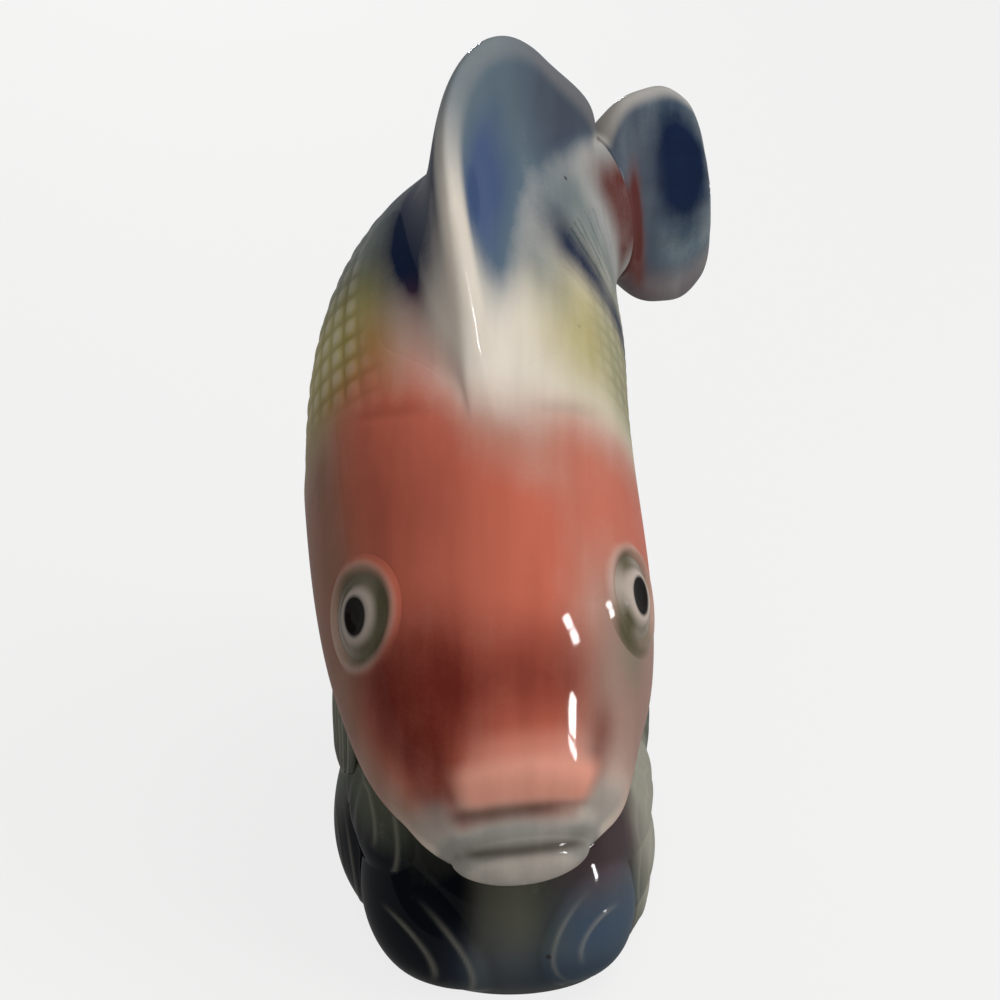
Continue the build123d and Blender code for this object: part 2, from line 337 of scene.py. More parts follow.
# Paint on the tail, in shares of its length and half chord: where a coat fades, and its strength
TAIL_SLATE = 0.85
TAIL_NAVY_MIDDLE = (0.66, 0.30)
TAIL_NAVY_HALVES = (0.42, 0.78)
TAIL_NAVY_FADES = (0.32, 1.15)
TAIL_PURPLE = 0.75
TAIL_PURPLE_FADES = (0.25, 0.55)
TAIL_TAUPE = 0.3
TAIL_TAUPE_FADES = (-0.85, -0.50)
TAIL_BRICK_ALONG = (-0.3, 0.20, 0.08)
TAIL_BRICK_ACROSS = (-0.85, 0.50, 0.2)
TAIL_BRICK_SIDE = (-0.2, 0.3)
TAIL_RIM_ALONG = (0.90, 1.0)
TAIL_RIM_ACROSS = (0.88, 0.99)
# The white on the tail's upper rim is partly pale paint on the edge and partly a painted highlight
TAIL_RIM_AND_HIGHLIGHT = 0.40
TAIL_RIDGE_STARTS = (0.3, 0.8)
# A side fin's root: section of the body, and degrees from the top of the back
PECTORAL_KNOT = 5
PECTORAL_BEARING = 128
# Paint on the side fins: an even coat or the strength of one that grows to the tip or the rays,
# and the strength of the painted shade between the rays
PECTORAL_SEA = 0.9
PECTORAL_DEEP = 0.5
PECTORAL_FOAM = 0.12
PECTORAL_CREST = 0.25
PECTORAL_RAY_SHADE = 0.5

# Dorsal fin: millimetres along the body, share of its full height and share of its lean to
# the left, which turns to the right over the curl
FIN_HEIGHTS = (
    (50, -0.05, 1.0), (58.6, 0.012, 1.0), (65, 0.08, 1.0), (70, 0.23, 1.0), (74.8, 0.43, 1.0),
    (89.7, 0.87, 0.8), (97, 0.97, 0.3), (103.2, 0.985, -0.2), (109, 0.90, -0.9),
    (114.7, 0.69, -1.8), (119.5, 0.50, -2.6), (123.7, 0.34, -3.4), (127.2, 0.14, -3.8),
    (129.5, -0.06, -3.8),
)

# The fin's rim dips this far under the skin, over the last share of its section. The skin is
# sunk under the rest of the fin, over these millimetres past its rim and of its height
FIN_LIP = 0.03
LIP_SHARES = (0.92, 1.0)
FIN_SEAT = 0.8
SEAT_EDGE = (-3.6, -1.4)
SEAT_HEIGHTS = (0.1, 1.0)
# Mesh of the fin along and down one side, and how far inside its table it starts and ends
FIN_ROWS = 160
FIN_STEPS = 80
FIN_INSET = (4, 0.3)
# Its edge is slimmer in front, and its flare is narrower where it is low
EDGE_SLIM = 0.70
SLIM_ALONG = (56, 80)
FLARE_LEAST = 0.2
FLARE_GROWN = 0.4
# Powers of its section: the steps down it, the rounded edge, and the hollow of the flare
STEP_POWER = 2.2
EDGE_POWER = 4
FLARE_POWERS = (0.4, 2.2)
# It leans back by up to this many degrees over a stretch of the body
FIN_SWEEP = 32
SWEEP_START = 58.6
SWEEP_LENGTH = 65
# Rays on its rear: height, pitch, shares of the fin's height, and start along the body
FIN_RAY_HEIGHT = 0.12
FIN_RAY_PITCH = 7.5
FIN_RAY_SHARES = (0.3, 0.85, 0.12)
FIN_RAY_ALONG = (92, 104)
# Paint on it, along the body and up from the skin: the body's colours end as it comes free,
# the left side is navy, and the right is slate, cobalt and purple
FIN_FREE = (0.6, 4.0)
LEFT_SIDE = (0.8, 2.4)
NAVY_ALONG = (70, 89)
NAVY_UP = (0.0, 2.2)
SLATE_ALONG = (70, 86)
COBALT_ALONG = (82, 101, 6)
COBALT_SHARES = (0.20, 0.66, 0.16)
PURPLE_ALONG = (104, 116)
PURPLE_COVER = 0.9
# White ridge: depth and soft edge as shares of the fin's edge, where it starts, where it fades,
# its cover at the rear and what the front adds, and what the left side takes away
RIDGE_DEPTH = 1.9
RIDGE_SOFT = 1.3
RIDGE_HEIGHTS = (0.5, 5.0)
RIDGE_UP = (0.2, 1.6)
RIDGE_FADES = (78, 98)
RIDGE_REAR = 0.12
RIDGE_FRONT = 0.85
RIDGE_LEFT = 0.97

# Foot: plan as shares of its half width and half length, and swell up its side
FOOT_PLAN_SHARES = (
    (0.12, -0.97), (-0.50, -0.83), (-0.85, -0.46), (-0.97, -0.09), (-0.97, 0.32),
    (-0.81, 0.71), (-0.39, 0.99), (0.16, 1.03), (0.66, 0.90), (0.93, 0.60),
    (1.03, 0.18), (1.03, -0.28), (0.95, -0.62), (0.70, -0.87),
)
FOOT_SWELL_SHARES = (
    (0.0, 0.92), (0.13, 0.968), (0.28, 0.996), (0.43, 1.0),
    (0.58, 0.99), (0.73, 0.97), (0.87, 0.94), (1.0, 0.90),
)
# Middle of the foot to the right of the origin, as a share of its half width
FOOT_MIDDLE_SHARE = 0.03
# Sections of the body between which the deck runs straight under the belly
DECK_KNOTS = (4, 7)

# Waves on the foot: place round it from the front as a share of half its girth, + to the
# right, then height, half width, half height and stand as shares of the largest wave's
WAVE_SHARES = (
    (-0.17, 0.67, 1.00, 1.00, 1.00),
    (0.15, 0.92, 0.72, 0.83, 0.80),
    (-0.30, 2.00, 0.94, 0.75, 0.80),
    (-0.43, 0.75, 0.89, 0.92, 0.86),
    (-0.56, 2.17, 0.94, 0.92, 0.80),
    (-0.68, 0.75, 0.89, 0.92, 0.86),
    (-0.81, 2.33, 0.89, 1.00, 0.80),
    (-0.92, 0.75, 0.89, 0.92, 0.86),
    (-1.00, 2.50, 0.83, 1.00, 0.80),
    (0.34, 0.42, 0.72, 0.58, 0.80),
    (0.33, 1.17, 0.67, 0.58, 0.86),
    (0.36, 1.92, 0.72, 0.58, 0.86),
    (0.55, 0.83, 0.89, 0.92, 0.86),
    (0.52, 2.42, 0.83, 0.83, 0.80),
    (0.75, 2.17, 0.89, 1.00, 0.80),
    (0.80, 0.75, 0.89, 0.92, 0.86),
)
WAVE_TILT = 20.0
# Crest lines on a wave: reach, thinness, and the degrees between which they run, with soft ends
CREST_LINES = ((0.46, 0.032, 5, 110), (0.80, 0.028, -15, 70))
CREST_SOFT = 25
CREST_RISE = 0.2
CREST_COVER = 0.24
# Valleys are shaded where the waves stand lower than this
VALLEY_SPREAD = 0.45
VALLEY_SHADE = 0.45

# Mesh of the foot: columns round it, rows up its side, and rows in over the deck, which stops at
# a share of the plan and is crowned in the middle
FOOT_COLUMNS = 560
FOOT_ROWS = 130
DECK_ROWS = 30
DECK_END = 0.04
DECK_CROWN = 1.2
# Flutes under the deck's edge: depth, pitch, shares of the height, and millimetres either way
# round the foot from its front
FLUTE_DEPTH = 0.25
FLUTE_PITCH = 4.2
FLUTE_SHARES = (0.72, 1.1, 0.12)
FLUTE_AROUND = (34, 58, 8)
# Underside from the drain hole outwards: shares of the foot's rim and of the hole's, and height
UNDER_SHARES = (
    (0.0, 1.0, 9.0), (0.0, 1.0, 5.0), (0.0, 1.0, 1.6), (0.25, 0.75, 1.2), (0.55, 0.45, 1.2),
    (0.80, 0.20, 1.2), (0.84, 0.16, 0.0), (0.92, 0.08, 0.0),
)

# Airbrush passes on the foot: from and to round it, soft edge, from and to in height, soft
# edge, slant in millimetres a millimetre, strength
FOOT_SPRAYS = {
    "sea": (
        (-200, 200, 1, -20, 80, 1, 0, 0.97),
    ),
    "plum": (
        (8, 34, 6, 17, 44, 5, 0, 0.80),
    ),
    "deep": (
        (-46, -3, 6, 3, 23, 5, 0, 0.97),
        (-30, -8, 5, 4, 16, 4, 0, 0.80),
        (-120, -38, 8, 2, 15, 6, 0, 0.80),
        (52, 120, 9, 2, 16, 6, 0, 0.75),
        (-120, -60, 9, 24, 36, 8, 0, 0.55),
        (52, 120, 9, 24, 36, 8, 0, 0.50),
        (4, 30, 5, 2, 9, 3, 0, 0.70),
    ),
    "blue": (
        (8, 27, 5, 9, 18, 4, 0, 0.75),
        (-6, 26, 7, 1, 12, 5, 0, 0.58),
    ),
    "foam": (
        (32, 50, 5, 2, 34, 5, 0, 0.60),
        (-6, 4, 3, 8, 24, 6, 0, 0.15),
    ),
}


def linear(code):
    """Linear RGBA of an sRGB hex colour."""
    srgb = np.array([int(code[place:place + 2], 16) for place in (0, 2, 4)]) / 255
    light = np.where(srgb <= 0.04045, srgb / 12.92, ((srgb + 0.055) / 1.055) ** 2.4)
    return (*light.tolist(), 1.0)


def length(label, about, millimetres):
    """Length property in metres whose default is given in millimetres."""
    return FloatProperty(name=label, description=about, default=millimetres * MM,
                         precision=5, subtype="DISTANCE", unit="LENGTH")


def paint(label, about, code):
    """Colour property whose default is an sRGB hex colour."""
    return FloatVectorProperty(name=label, description=about, default=linear(code),
                               size=4, min=0.0, max=1.0, subtype="COLOR")


class FigurineSizes(PropertyGroup):
    """Sizes that a maker would change."""
    spine_reach: length("Spine reach", "From nose to tail root, along the foot", 107.5)
    spine_rise: length("Spine rise", "From nose to tail root, upwards", 57.4)
    spine_curl: length("Spine curl", "Sideways sweep of the tail root", 20.0)
    nose_ahead: length("Nose ahead", "Nose section in front of the foot's middle", 46.0)
    nose_height: length("Nose height", "Nose section above the table", 34.0)
    body_half_width: length("Body half width", "Widest half width of the body", 26.2)
    back_height: length("Back height", "Middle line to back at the deepest section", 29.0)
    belly_depth: length("Belly depth", "Middle line to belly at the deepest section", 28.0)
    snout_length: length("Snout length", "Rounded end in front of the nose section", 4.5)
    eye_along: length("Eye place", "Middle of the eyes along the body", 33.6)
    lid_radius: length("Lid radius", "Outer radius of the eyelid ring", 9.6)
    eyeball_radius: length("Eyeball radius", "Radius of the domed eyeball", 6.7)
    lid_rise: length("Lid rise", "Eyelid above the head", 0.5)
    eyeball_rise: length("Eyeball rise", "Top of the eyeball above the head", 0.9)
    pupil_radius: length("Pupil radius", "Half height of the painted pupil", 2.8)
    fin_height: length("Fin height", "Dorsal fin above the back", 23.5)
    fin_edge_half: length("Fin edge", "Half thickness of the dorsal fin's rounded edge", 2.3)
    fin_root_half: length("Fin root", "Half thickness of the dorsal fin above its flare", 4.8)
    fin_flare_left: length("Left fin flare", "Width of the hollow where it runs into the back", 12.0)
    fin_flare_right: length("Right fin flare", "Width of the hollow on the inside of the curl", 14.0)
    fin_tip_offset: length("Fin lean", "Sideways lean of the dorsal fin's edge", 1.6)
    tail_length: length("Tail length", "Tail fan from the end of the body", 22.0)
    tail_half_height: length("Tail half height", "Half chord of the tail fan", 20.6)
    tail_half_thickness: length("Tail half thickness", "Half thickness of the fan's root", 8.0)
    tail_droop: length("Tail droop", "Drop of the fan's tip", 4.7)
    pectoral_length: length("Pectoral length", "Side fin from its root to its tip", 21.0)
    pectoral_half_chord: length("Pectoral half chord", "Half width of the side fin", 9.0)
    pectoral_half_thickness: length("Pectoral half thickness", "Half thickness of its root", 1.9)
    pectoral_sink: length("Pectoral sink", "Root of the side fin below the skin", 2.5)
    foot_half_width: length("Foot half width", "Half width of the wave foot", 25.8)
    foot_half_length: length("Foot half length", "Half length of the wave foot", 43.5)
    foot_lap: length("Foot lap", "Foot's top above the belly line", 4.2)
    wave_half_width: length("Wave half width", "Half width of the largest wave", 18.0)
    wave_half_height: length("Wave half height", "Half height of the largest wave", 12.0)
    wave_stand: length("Wave stand", "Largest wave above the valley beside it", 2.8)
    wave_valley: length("Wave valley", "Valleys between the waves, inside the foot's outline", 1.8)
    wave_start: length("Wave start", "Height over which the waves start from the table", 2.5)
    drain_radius: length("Drain radius", "Hole in the foot's underside", 6.0)
    scale_pitch: length("Scale pitch", "Scales from one to the next along the body", 3.6)
    scale_rise: length("Scale rise", "Scales above the skin", 0.30)
    gill_rise: length("Gill rise", "Edge of the gill cover above the skin", 0.55)


class FigurineColours(PropertyGroup):
    """Underglaze colours that a maker would change."""
    body_white: paint("Body white", "White earthenware under clear glaze", "D8CFC2")
    blush: paint("Blush", "Thin spray on the cheeks", "AE8576")
    umber: paint("Umber", "Brown of the left cheek", "805B48")
    taupe: paint("Taupe", "Grey of the right cheek", "96796E")
    coral: paint("Coral", "Airbrushed head", "BE6652")
    salmon: paint("Salmon", "Snout pad", "DE9A86")
    bare: paint("Bare", "Grey white left bare round the mouth", "94918B")
    maroon: paint("Maroon", "Deep red above the snout", "6C2920")
    yellow: paint("Yellow", "Scaled flanks", "A39856")
    green: paint("Green", "Bands behind the flanks", "66705C")
    slate: paint("Slate", "Grey blue of the fins", "5A6A75")
    navy: paint("Navy", "Fins and tail stalk", "0F203E")
    cobalt: paint("Cobalt", "Right side of the dorsal fin", "425478")
    purple: paint("Purple", "Rear lobe of the dorsal fin", "454D5A")
    brick: paint("Brick", "Red brown at the tail's root", "5E3430")
    olive: paint("Olive", "Ring brushed round the eye", "544F3B")
    pupil: paint("Pupil", "Black of the eye", "120E0C")
    deep: paint("Deep water", "Dark waves on the foot", "060A12")
    sea: paint("Sea", "Green grey of the foot", "52564A")
    plum: paint("Plum", "Purple brown beside the chin", "54444A")
    blue: paint("Blue", "Blue wave at the front", "3C4C60")
    foam: paint("Foam", "Pale crests of the waves", "A8A598")
    biscuit: paint("Biscuit", "Unglazed underside", "C9BBA3")


def in_millimetres(group):
    """Plain values of a group of lengths, in millimetres."""
    return SimpleNamespace(**{name: getattr(group, name) / MM for name in group.__annotations__})


def rise(value, low, high):
    """Smooth step from 0 at low to 1 at high."""
    share = np.clip((value - low) / (high - low), 0, 1)
    return share * share * (3 - 2 * share)


def window(value, low, high, soft):
    """1 between low and high, fading to 0 over a soft edge either side of each."""
    return rise(value, low - soft, low + soft) * (1 - rise(value, high - soft, high + soft))


def hump(value, middle, spread):
    """Bell curve of height 1."""
    return np.exp(-(((value - middle) / spread) ** 2))


def shade(value, bell):
    """Bell curve given by its height, middle and spread."""
    height, middle, spread = bell
    return height * hump(value, middle, spread)


def sprayed(along, round_it, passes):
    """Cover of several airbrush passes: 1 less the product of what each pass leaves bare."""
    bare = np.ones(np.broadcast(along, round_it).shape)
    for start, end, soft, left, right, side_soft, slant, strength in passes:
        spot = window(along + slant * round_it, start, end, soft)
        spot = spot * window(round_it, left, right, side_soft)
        bare = bare * (1 - strength * spot)
    return 1 - bare


def spline(knots, values, places):
    """Natural cubic spline through rows of values, read at places.

    The bends at the knots solve the usual three-band equations, and each stretch is the
    cubic that has the values and the bends of its two ends.
    """
    knots = np.asarray(knots, float)
    values = np.asarray(values, float).reshape(len(knots), -1)
    gap = np.diff(knots)
    slope = np.diff(values, axis=0) / gap[:, None]
    inner = np.arange(1, len(knots) - 1)
    band = np.eye(len(knots))
    band[inner, inner - 1] = gap[:-1]
    band[inner, inner] = 2 * (gap[:-1] + gap[1:])
    band[inner, inner + 1] = gap[1:]
    load = np.zeros_like(values)
    load[1:-1] = 6 * np.diff(slope, axis=0)
    bend = np.linalg.solve(band, load)
    places = np.asarray(places, float)
    at = np.clip(np.searchsorted(knots, places) - 1, 0, len(knots) - 2)
    span = gap[at][..., None]
    step = (places - knots[at])[..., None]
    start = slope[at] - span * (2 * bend[at] + bend[at + 1]) / 6
    turn = (bend[at + 1] - bend[at]) / (6 * span)
    return values[at] + step * (start + step * (bend[at] / 2 + step * turn))


def unit(vectors):
    """Vectors of length 1 along the last axis."""
    return vectors / np.linalg.norm(vectors, axis=-1, keepdims=True)


class Trunk:
    """Smooth body of the fish as a surface of the length along its spine and the turn round it.

    A point is spine + right * half width * sign(cos)|cos|**fullness + up * depth * sin, where
    the depth is the back's or the belly's. In front of the nose section the same outline
    shrinks as a quarter ellipse as long as the snout.
    """

    def __init__(self, size):
        scale = (size.spine_curl, size.spine_reach, size.spine_rise,
                 size.body_half_width, size.back_height, size.belly_depth)
        self.table = np.array(BODY_SHARES) * scale
        self.table[:, 1] -= size.nose_ahead
        self.table[:, 2] += size.nose_height
        steps = np.linalg.norm(np.diff(self.table[:, :3], axis=0), axis=1)
        self.knots = np.concatenate([[0], np.cumsum(steps)])
        self.end = self.knots[-1]
        self.snout = size.snout_length

    def frame_at(self, along):
        """Spine point, its directions to the right, up and to the tail, and the three sizes."""
        along = np.asarray(along, float)
        held = np.clip(along, 0, self.end)
        row = spline(self.knots, self.table, held)
        nudge = 0.5
        tail = unit(spline(self.knots, self.table, held + nudge)[..., :3]
                    - spline(self.knots, self.table, held - nudge)[..., :3])
        up = np.array([0.0, 0.0, 1.0]) - tail * tail[..., 2:3]
        up = unit(up)
        right = np.cross(tail, up)
        ahead = np.clip(-along / self.snout, 0, 1)
        shrink = np.sqrt(1 - ahead**2)[..., None]
        spine = row[..., :3] + tail * (along - held)[..., None]
        return spine, right, up, tail, row[..., 3:] * shrink

    def point(self, along, turn):
        """Points of the smooth skin."""
        along, turn = np.broadcast_arrays(np.asarray(along, float), turn)
        spine, right, up, _, sizes = self.frame_at(along)
        across = sizes[..., 0] * np.sign(np.cos(turn)) * np.abs(np.cos(turn)) ** SECTION_FULLNESS
        height = np.where(np.sin(turn) > 0, sizes[..., 1], sizes[..., 2]) * np.sin(turn)
        return spine + right * across[..., None] + up * height[..., None]

    def steps(self, along, turn):
        """Change of the skin's point for a millimetre along and for a radian round."""
        along = np.maximum(along, -SNOUT_HOLD * self.snout)
        nudge, twist = 0.05, 0.01
        lengthwise = self.point(along + nudge, turn) - self.point(along - nudge, turn)
        crosswise = self.point(along, turn + twist) - self.point(along, turn - twist)
        return lengthwise / (2 * nudge), crosswise / (2 * twist)

    def lifted(self, along, turn, lift):
        """Points of the skin moved outwards by the lift."""
        lengthwise, crosswise = self.steps(along, turn)
        outward = unit(np.cross(lengthwise, crosswise))
        return self.point(along, turn) + outward * np.asarray(lift)[..., None]


def grid_faces(rows, columns, ring):
    """Quads of a grid that closes round its columns, and round its rows too for a ring."""
    row = np.arange(rows if ring else rows - 1)[:, None]
    column = np.arange(columns)[None, :]
    beside = (column + 1) % columns
    below = (row + 1) % rows
    corners = [row * columns + column, row * columns + beside,
               below * columns + beside, below * columns + column]
    return np.stack(corners, axis=-1).reshape(-1, 4)


def cap_faces(pole, first, columns):
    """Triangles from a pole to the row of vertices that starts at first."""
    column = np.arange(columns)
    beside = (column + 1) % columns
    return np.stack([np.full(columns, pole), first + beside, first + column], axis=-1)


def volume_of(points, triangles):
    """Signed volume inside a closed mesh."""
    a, b, c = (points[triangles[:, corner]] for corner in range(3))
    return float(np.einsum("ij,ij->i", a, np.cross(b, c)).sum() / 6)


def make_piece(name, grid, masks, material, node, ring=False):
    """Closed mesh from a grid of points in millimetres, with its paint masks as attributes.

    The grid closes round its columns. Its first and last rows are capped by a pole at their
    middle, unless the grid is a ring. Faces are turned so that the volume is positive.
    """
    rows, columns = grid.shape[:2]
    points = grid.reshape(-1, 3)
    quads = grid_faces(rows, columns, ring)
    caps = np.zeros((0, 3), int)
    if not ring:
        points = np.vstack([points, grid[0].mean(axis=0), grid[-1].mean(axis=0)])
        top = cap_faces(rows * columns, 0, columns)
        bottom = cap_faces(rows * columns + 1, (rows - 1) * columns, columns)[:, ::-1]
        caps = np.vstack([top, bottom])
    halves = np.vstack([quads[:, [0, 1, 2]], quads[:, [0, 2, 3]], caps])
    if volume_of(points, halves) < 0:
        quads = quads[:, ::-1]
        caps = caps[:, ::-1]
    mesh = bpy.data.meshes.new(name)
    mesh.from_pydata((points * MM).tolist(), [], quads.tolist() + caps.tolist())
    for mask, values in masks.items():
        cover = np.broadcast_to(values, (rows, columns))
        flat = cover.reshape(-1)
        if not ring:
            flat = np.concatenate([flat, [cover[0].mean(), cover[-1].mean()]])
        attribute = mesh.attributes.new(mask, "FLOAT", "POINT")
        attribute.data.foreach_set("value", np.clip(flat, 0, 1).astype(np.float32))
    mesh.polygons.foreach_set("use_smooth", np.ones(len(mesh.polygons), bool))
    mesh.materials.append(material)
    mesh.update()
    piece = bpy.data.objects.new(name, mesh)
    bpy.context.scene.collection.objects.link(piece)
    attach(piece, "root")
    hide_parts(node)
    return piece


def add_node(tree, kind, links=None, **settings):
    """Adds a node with its settings; links gives each socket a value or another node's output."""
    node = tree.nodes.new(kind)
    for key, value in settings.items():
        setattr(node, key, value)
    for socket, value in (links or {}).items():
        if isinstance(value, bpy.types.NodeSocket):
            tree.links.new(value, node.inputs[socket])
        else:
            node.inputs[socket].default_value = value
    return node


def per_millimetre(size):
    """Texture scale, in repeats a metre, of a pattern whose repeat is given in millimetres."""
    return 1 / (size * MM)


# Airbrushed colour is grainy at about half a millimetre, cloudy at about a centimetre, and
# streaky along the body, where a streak is several times as long as it is wide
SPRAY_GRAIN = 0.5
SPRAY_CLOUD = 9.0
SPRAY_STREAK = 3.5
STREAK_SHARE = 0.14
# Cover of a full spray: what is even, then what the clouds, the streaks and the grain add
SPRAY_EVEN = 0.59
CLOUD_COVER = 0.50
STREAK_COVER = 0.40
GRAIN_COVER = 0.12
# Streaks darken the colour by up to this share of a brownish wash, over a range of their noise
STREAK_DEPTH = 0.09
STREAK_RANGE = (0.42, 0.68)
WASH_COLOUR = "8A7870"
# Painted shade in the grooves, slits and valleys, and glaze that pools there, multiply the colour
# by this grey
POOL_AND_SHADE_COLOUR = "7C7468"
# One iron speck lies in each cell of this size, and few of them meet the surface. A speck
# fades out at its radius and is full at half of it
SPECK_SPACING = 26.0
SPECK_RADIUS = 0.55
SPECK_COVER = 0.75
SPECK_COLOUR = "2A1D16"
# Clear glaze is level apart from a ripple, this far apart and this high in millimetres. It is
# drawn deeper than the real one, so that it shows where it breaks the highlights
GLAZE_RIPPLE = 4.5
RIPPLE_HEIGHT = 0.24
RIPPLE_STRENGTH = 0.70


def layers(hue, masks):
    """Masks paired with the colours of the same names, from the lowest coat to the top one."""
    return [(mask, getattr(hue, mask)) for mask in masks]


def glazed_earthenware(name, ground, paints):
    """Slip-cast white earthenware, airbrushed with underglaze and dipped in clear gloss glaze.

    The clear coat gives sharp window highlights, and the colours under it fade softly with a
    fine spray grain. Hollows are darkened by painted shade and by glaze that pools in them, and
    the glaze holds a few iron specks.
    """
    material = bpy.data.materials.new(name)
    material.use_nodes = True
    tree = material.node_tree
    tree.nodes.clear()
    place = add_node(tree, "ShaderNodeTexCoord").outputs["Object"]
    cloud = add_node(tree, "ShaderNodeTexNoise",
                     {"Vector": place, "Scale": per_millimetre(SPRAY_CLOUD), "Detail": 3.0})
    grain = add_node(tree, "ShaderNodeTexNoise",
                     {"Vector": place, "Scale": per_millimetre(SPRAY_GRAIN), "Detail": 1.0})
    drawn_out = add_node(tree, "ShaderNodeMapping",
                         {"Vector": place, "Scale": (1.0, STREAK_SHARE, STREAK_SHARE)})
    streak = add_node(tree, "ShaderNodeTexNoise",
                      {"Vector": drawn_out.outputs[0], "Scale": per_millimetre(SPRAY_STREAK),
                       "Detail": 2.0})
    spray = None
    for noise, share in ((cloud, CLOUD_COVER), (streak, STREAK_COVER), (grain, GRAIN_COVER)):
        so_far = spray.outputs[0] if spray else SPRAY_EVEN
        spray = add_node(tree, "ShaderNodeMath", {0: noise.outputs["Fac"], 1: share, 2: so_far},
                         operation="MULTIPLY_ADD")
    colour = ground
    for mask, hue in paints:
        cover = add_node(tree, "ShaderNodeAttribute", attribute_name=mask)
        amount = add_node(tree, "ShaderNodeMath", {0: cover.outputs["Fac"], 1: spray.outputs[0]},
                          operation="MULTIPLY", use_clamp=True)
        layer = add_node(tree, "ShaderNodeMix", {0: amount.outputs[0], 6: colour, 7: hue},
                         data_type="RGBA")
        colour = layer.outputs[2]
    brushed = add_node(tree, "ShaderNodeMapRange",
                       {"Value": streak.outputs["Fac"], "From Min": STREAK_RANGE[0],
                        "From Max": STREAK_RANGE[1], "To Min": 0.0, "To Max": STREAK_DEPTH})
    mottled = add_node(tree, "ShaderNodeMix",
                       {0: brushed.outputs[0], 6: colour, 7: linear(WASH_COLOUR)},
                       data_type="RGBA", blend_type="MULTIPLY")
    # Painted shade in the grooves, slits and valleys, with glaze that pools there, from the hollow
    # mask
    hollow = add_node(tree, "ShaderNodeAttribute", attribute_name="hollow")
    pooled_and_shaded = add_node(tree, "ShaderNodeMix",
                      {0: hollow.outputs["Fac"], 6: mottled.outputs[2], 7: linear(POOL_AND_SHADE_COLOUR)},
                      data_type="RGBA", blend_type="MULTIPLY")
    cells = add_node(tree, "ShaderNodeTexVoronoi",
                     {"Vector": place, "Scale": per_millimetre(SPECK_SPACING)})
    edge = SPECK_RADIUS / SPECK_SPACING
    speck = add_node(tree, "ShaderNodeMapRange",
                     {"Value": cells.outputs["Distance"], "From Min": edge, "From Max": edge * 0.5,
                      "To Min": 0.0, "To Max": SPECK_COVER})
    specked = add_node(tree, "ShaderNodeMix",
                       {0: speck.outputs[0], 6: pooled_and_shaded.outputs[2], 7: linear(SPECK_COLOUR)},
                       data_type="RGBA")
    ripple = add_node(tree, "ShaderNodeTexNoise",
                      {"Vector": place, "Scale": per_millimetre(GLAZE_RIPPLE), "Detail": 2.0})
    bump = add_node(tree, "ShaderNodeBump",
                    {"Height": ripple.outputs["Fac"], "Strength": RIPPLE_STRENGTH,
                     "Distance": RIPPLE_HEIGHT * MM})
    shader = add_node(tree, "ShaderNodeBsdfPrincipled",
                      {"Base Color": specked.outputs[2], "Normal": bump.outputs[0],
                       "Roughness": 0.30, "IOR": 1.50, "Specular IOR Level": 0.0,
                       "Coat Weight": 0.12, "Coat Roughness": 0.06, "Coat IOR": 1.50})
    add_node(tree, "ShaderNodeOutputMaterial", {"Surface": shader.outputs[0]})
    return material


def body_rows(trunk):
    """Rows along the body: even angles round the snout, close over the face, then wider."""
    angles = np.radians(np.linspace(POLE_ANGLE, 90, SNOUT_ROWS, endpoint=False))
    snout = -trunk.snout * np.cos(angles)
    face = np.linspace(0, FACE_END, FACE_ROWS, endpoint=False)
    head = np.linspace(FACE_END, HEAD_END, HEAD_ROWS, endpoint=False)
    rear = np.linspace(HEAD_END, trunk.end, REAR_ROWS)
    return np.concatenate([snout, face, head, rear])


def body_columns(count):
    """Angles from the top of the back, closer together on the back than under the belly."""
    share = np.linspace(-1, 1, count, endpoint=False)
    return np.pi * share - COLUMN_DRAW * np.sin(np.pi * share)


def eye_places(trunk, size, side):
    """Turn of an eye's middle round the body, and the skin's stretch there both ways."""
    turn = radians(90 - side * EYE_BEARING)
    lengthwise, crosswise = trunk.steps(np.array(size.eye_along), np.array(turn))
    return turn, np.linalg.norm(lengthwise), np.linalg.norm(crosswise)


def scale_cells(trunk, size, along, round_it):
    """Height of the scales, in rows and columns: |sin(pi p) sin(pi q)|**fullness.

    The columns run along the body, so the scales shrink with it towards the tail.
    """
    line = np.linspace(0, trunk.end, GIRTH_PLACES)
    girth = spline(trunk.knots, trunk.table[:, 3:4], line)[:, 0] / size.body_half_width
    rows = np.interp(along, line, np.cumsum(1 / girth) * (line[1] - line[0]) / size.scale_pitch)
    columns = round_it * round(2 * np.pi * size.body_half_width / size.scale_pitch) / (2 * np.pi)
    return np.abs(np.sin(np.pi * rows) * np.sin(np.pi * columns)) ** SCALE_FULLNESS


def gill_edge(along, round_it):
    """Millimetres past the gill cover's edge, and how strongly the edge stands out there."""
    away = np.abs(np.degrees(round_it))
    edge = GILL_BACK + GILL_FLANK * np.sin(round_it) ** 2
    edge = edge - GILL_THROAT * rise(away, *THROAT_DEGREES) ** 2
    nape = NAPE_STRENGTH * window(away, *NAPE_DEGREES)
    return along - edge, nape + rise(away, *GILL_STARTS) * (1 - rise(away, *GILL_ENDS))


def mouth_line(along, round_it):
    """Millimetres past the mouth line, which bends back to the corners of the mouth."""
    return along - MOUTH_MIDDLE - MOUTH_CURVE * np.sin(round_it) ** 2


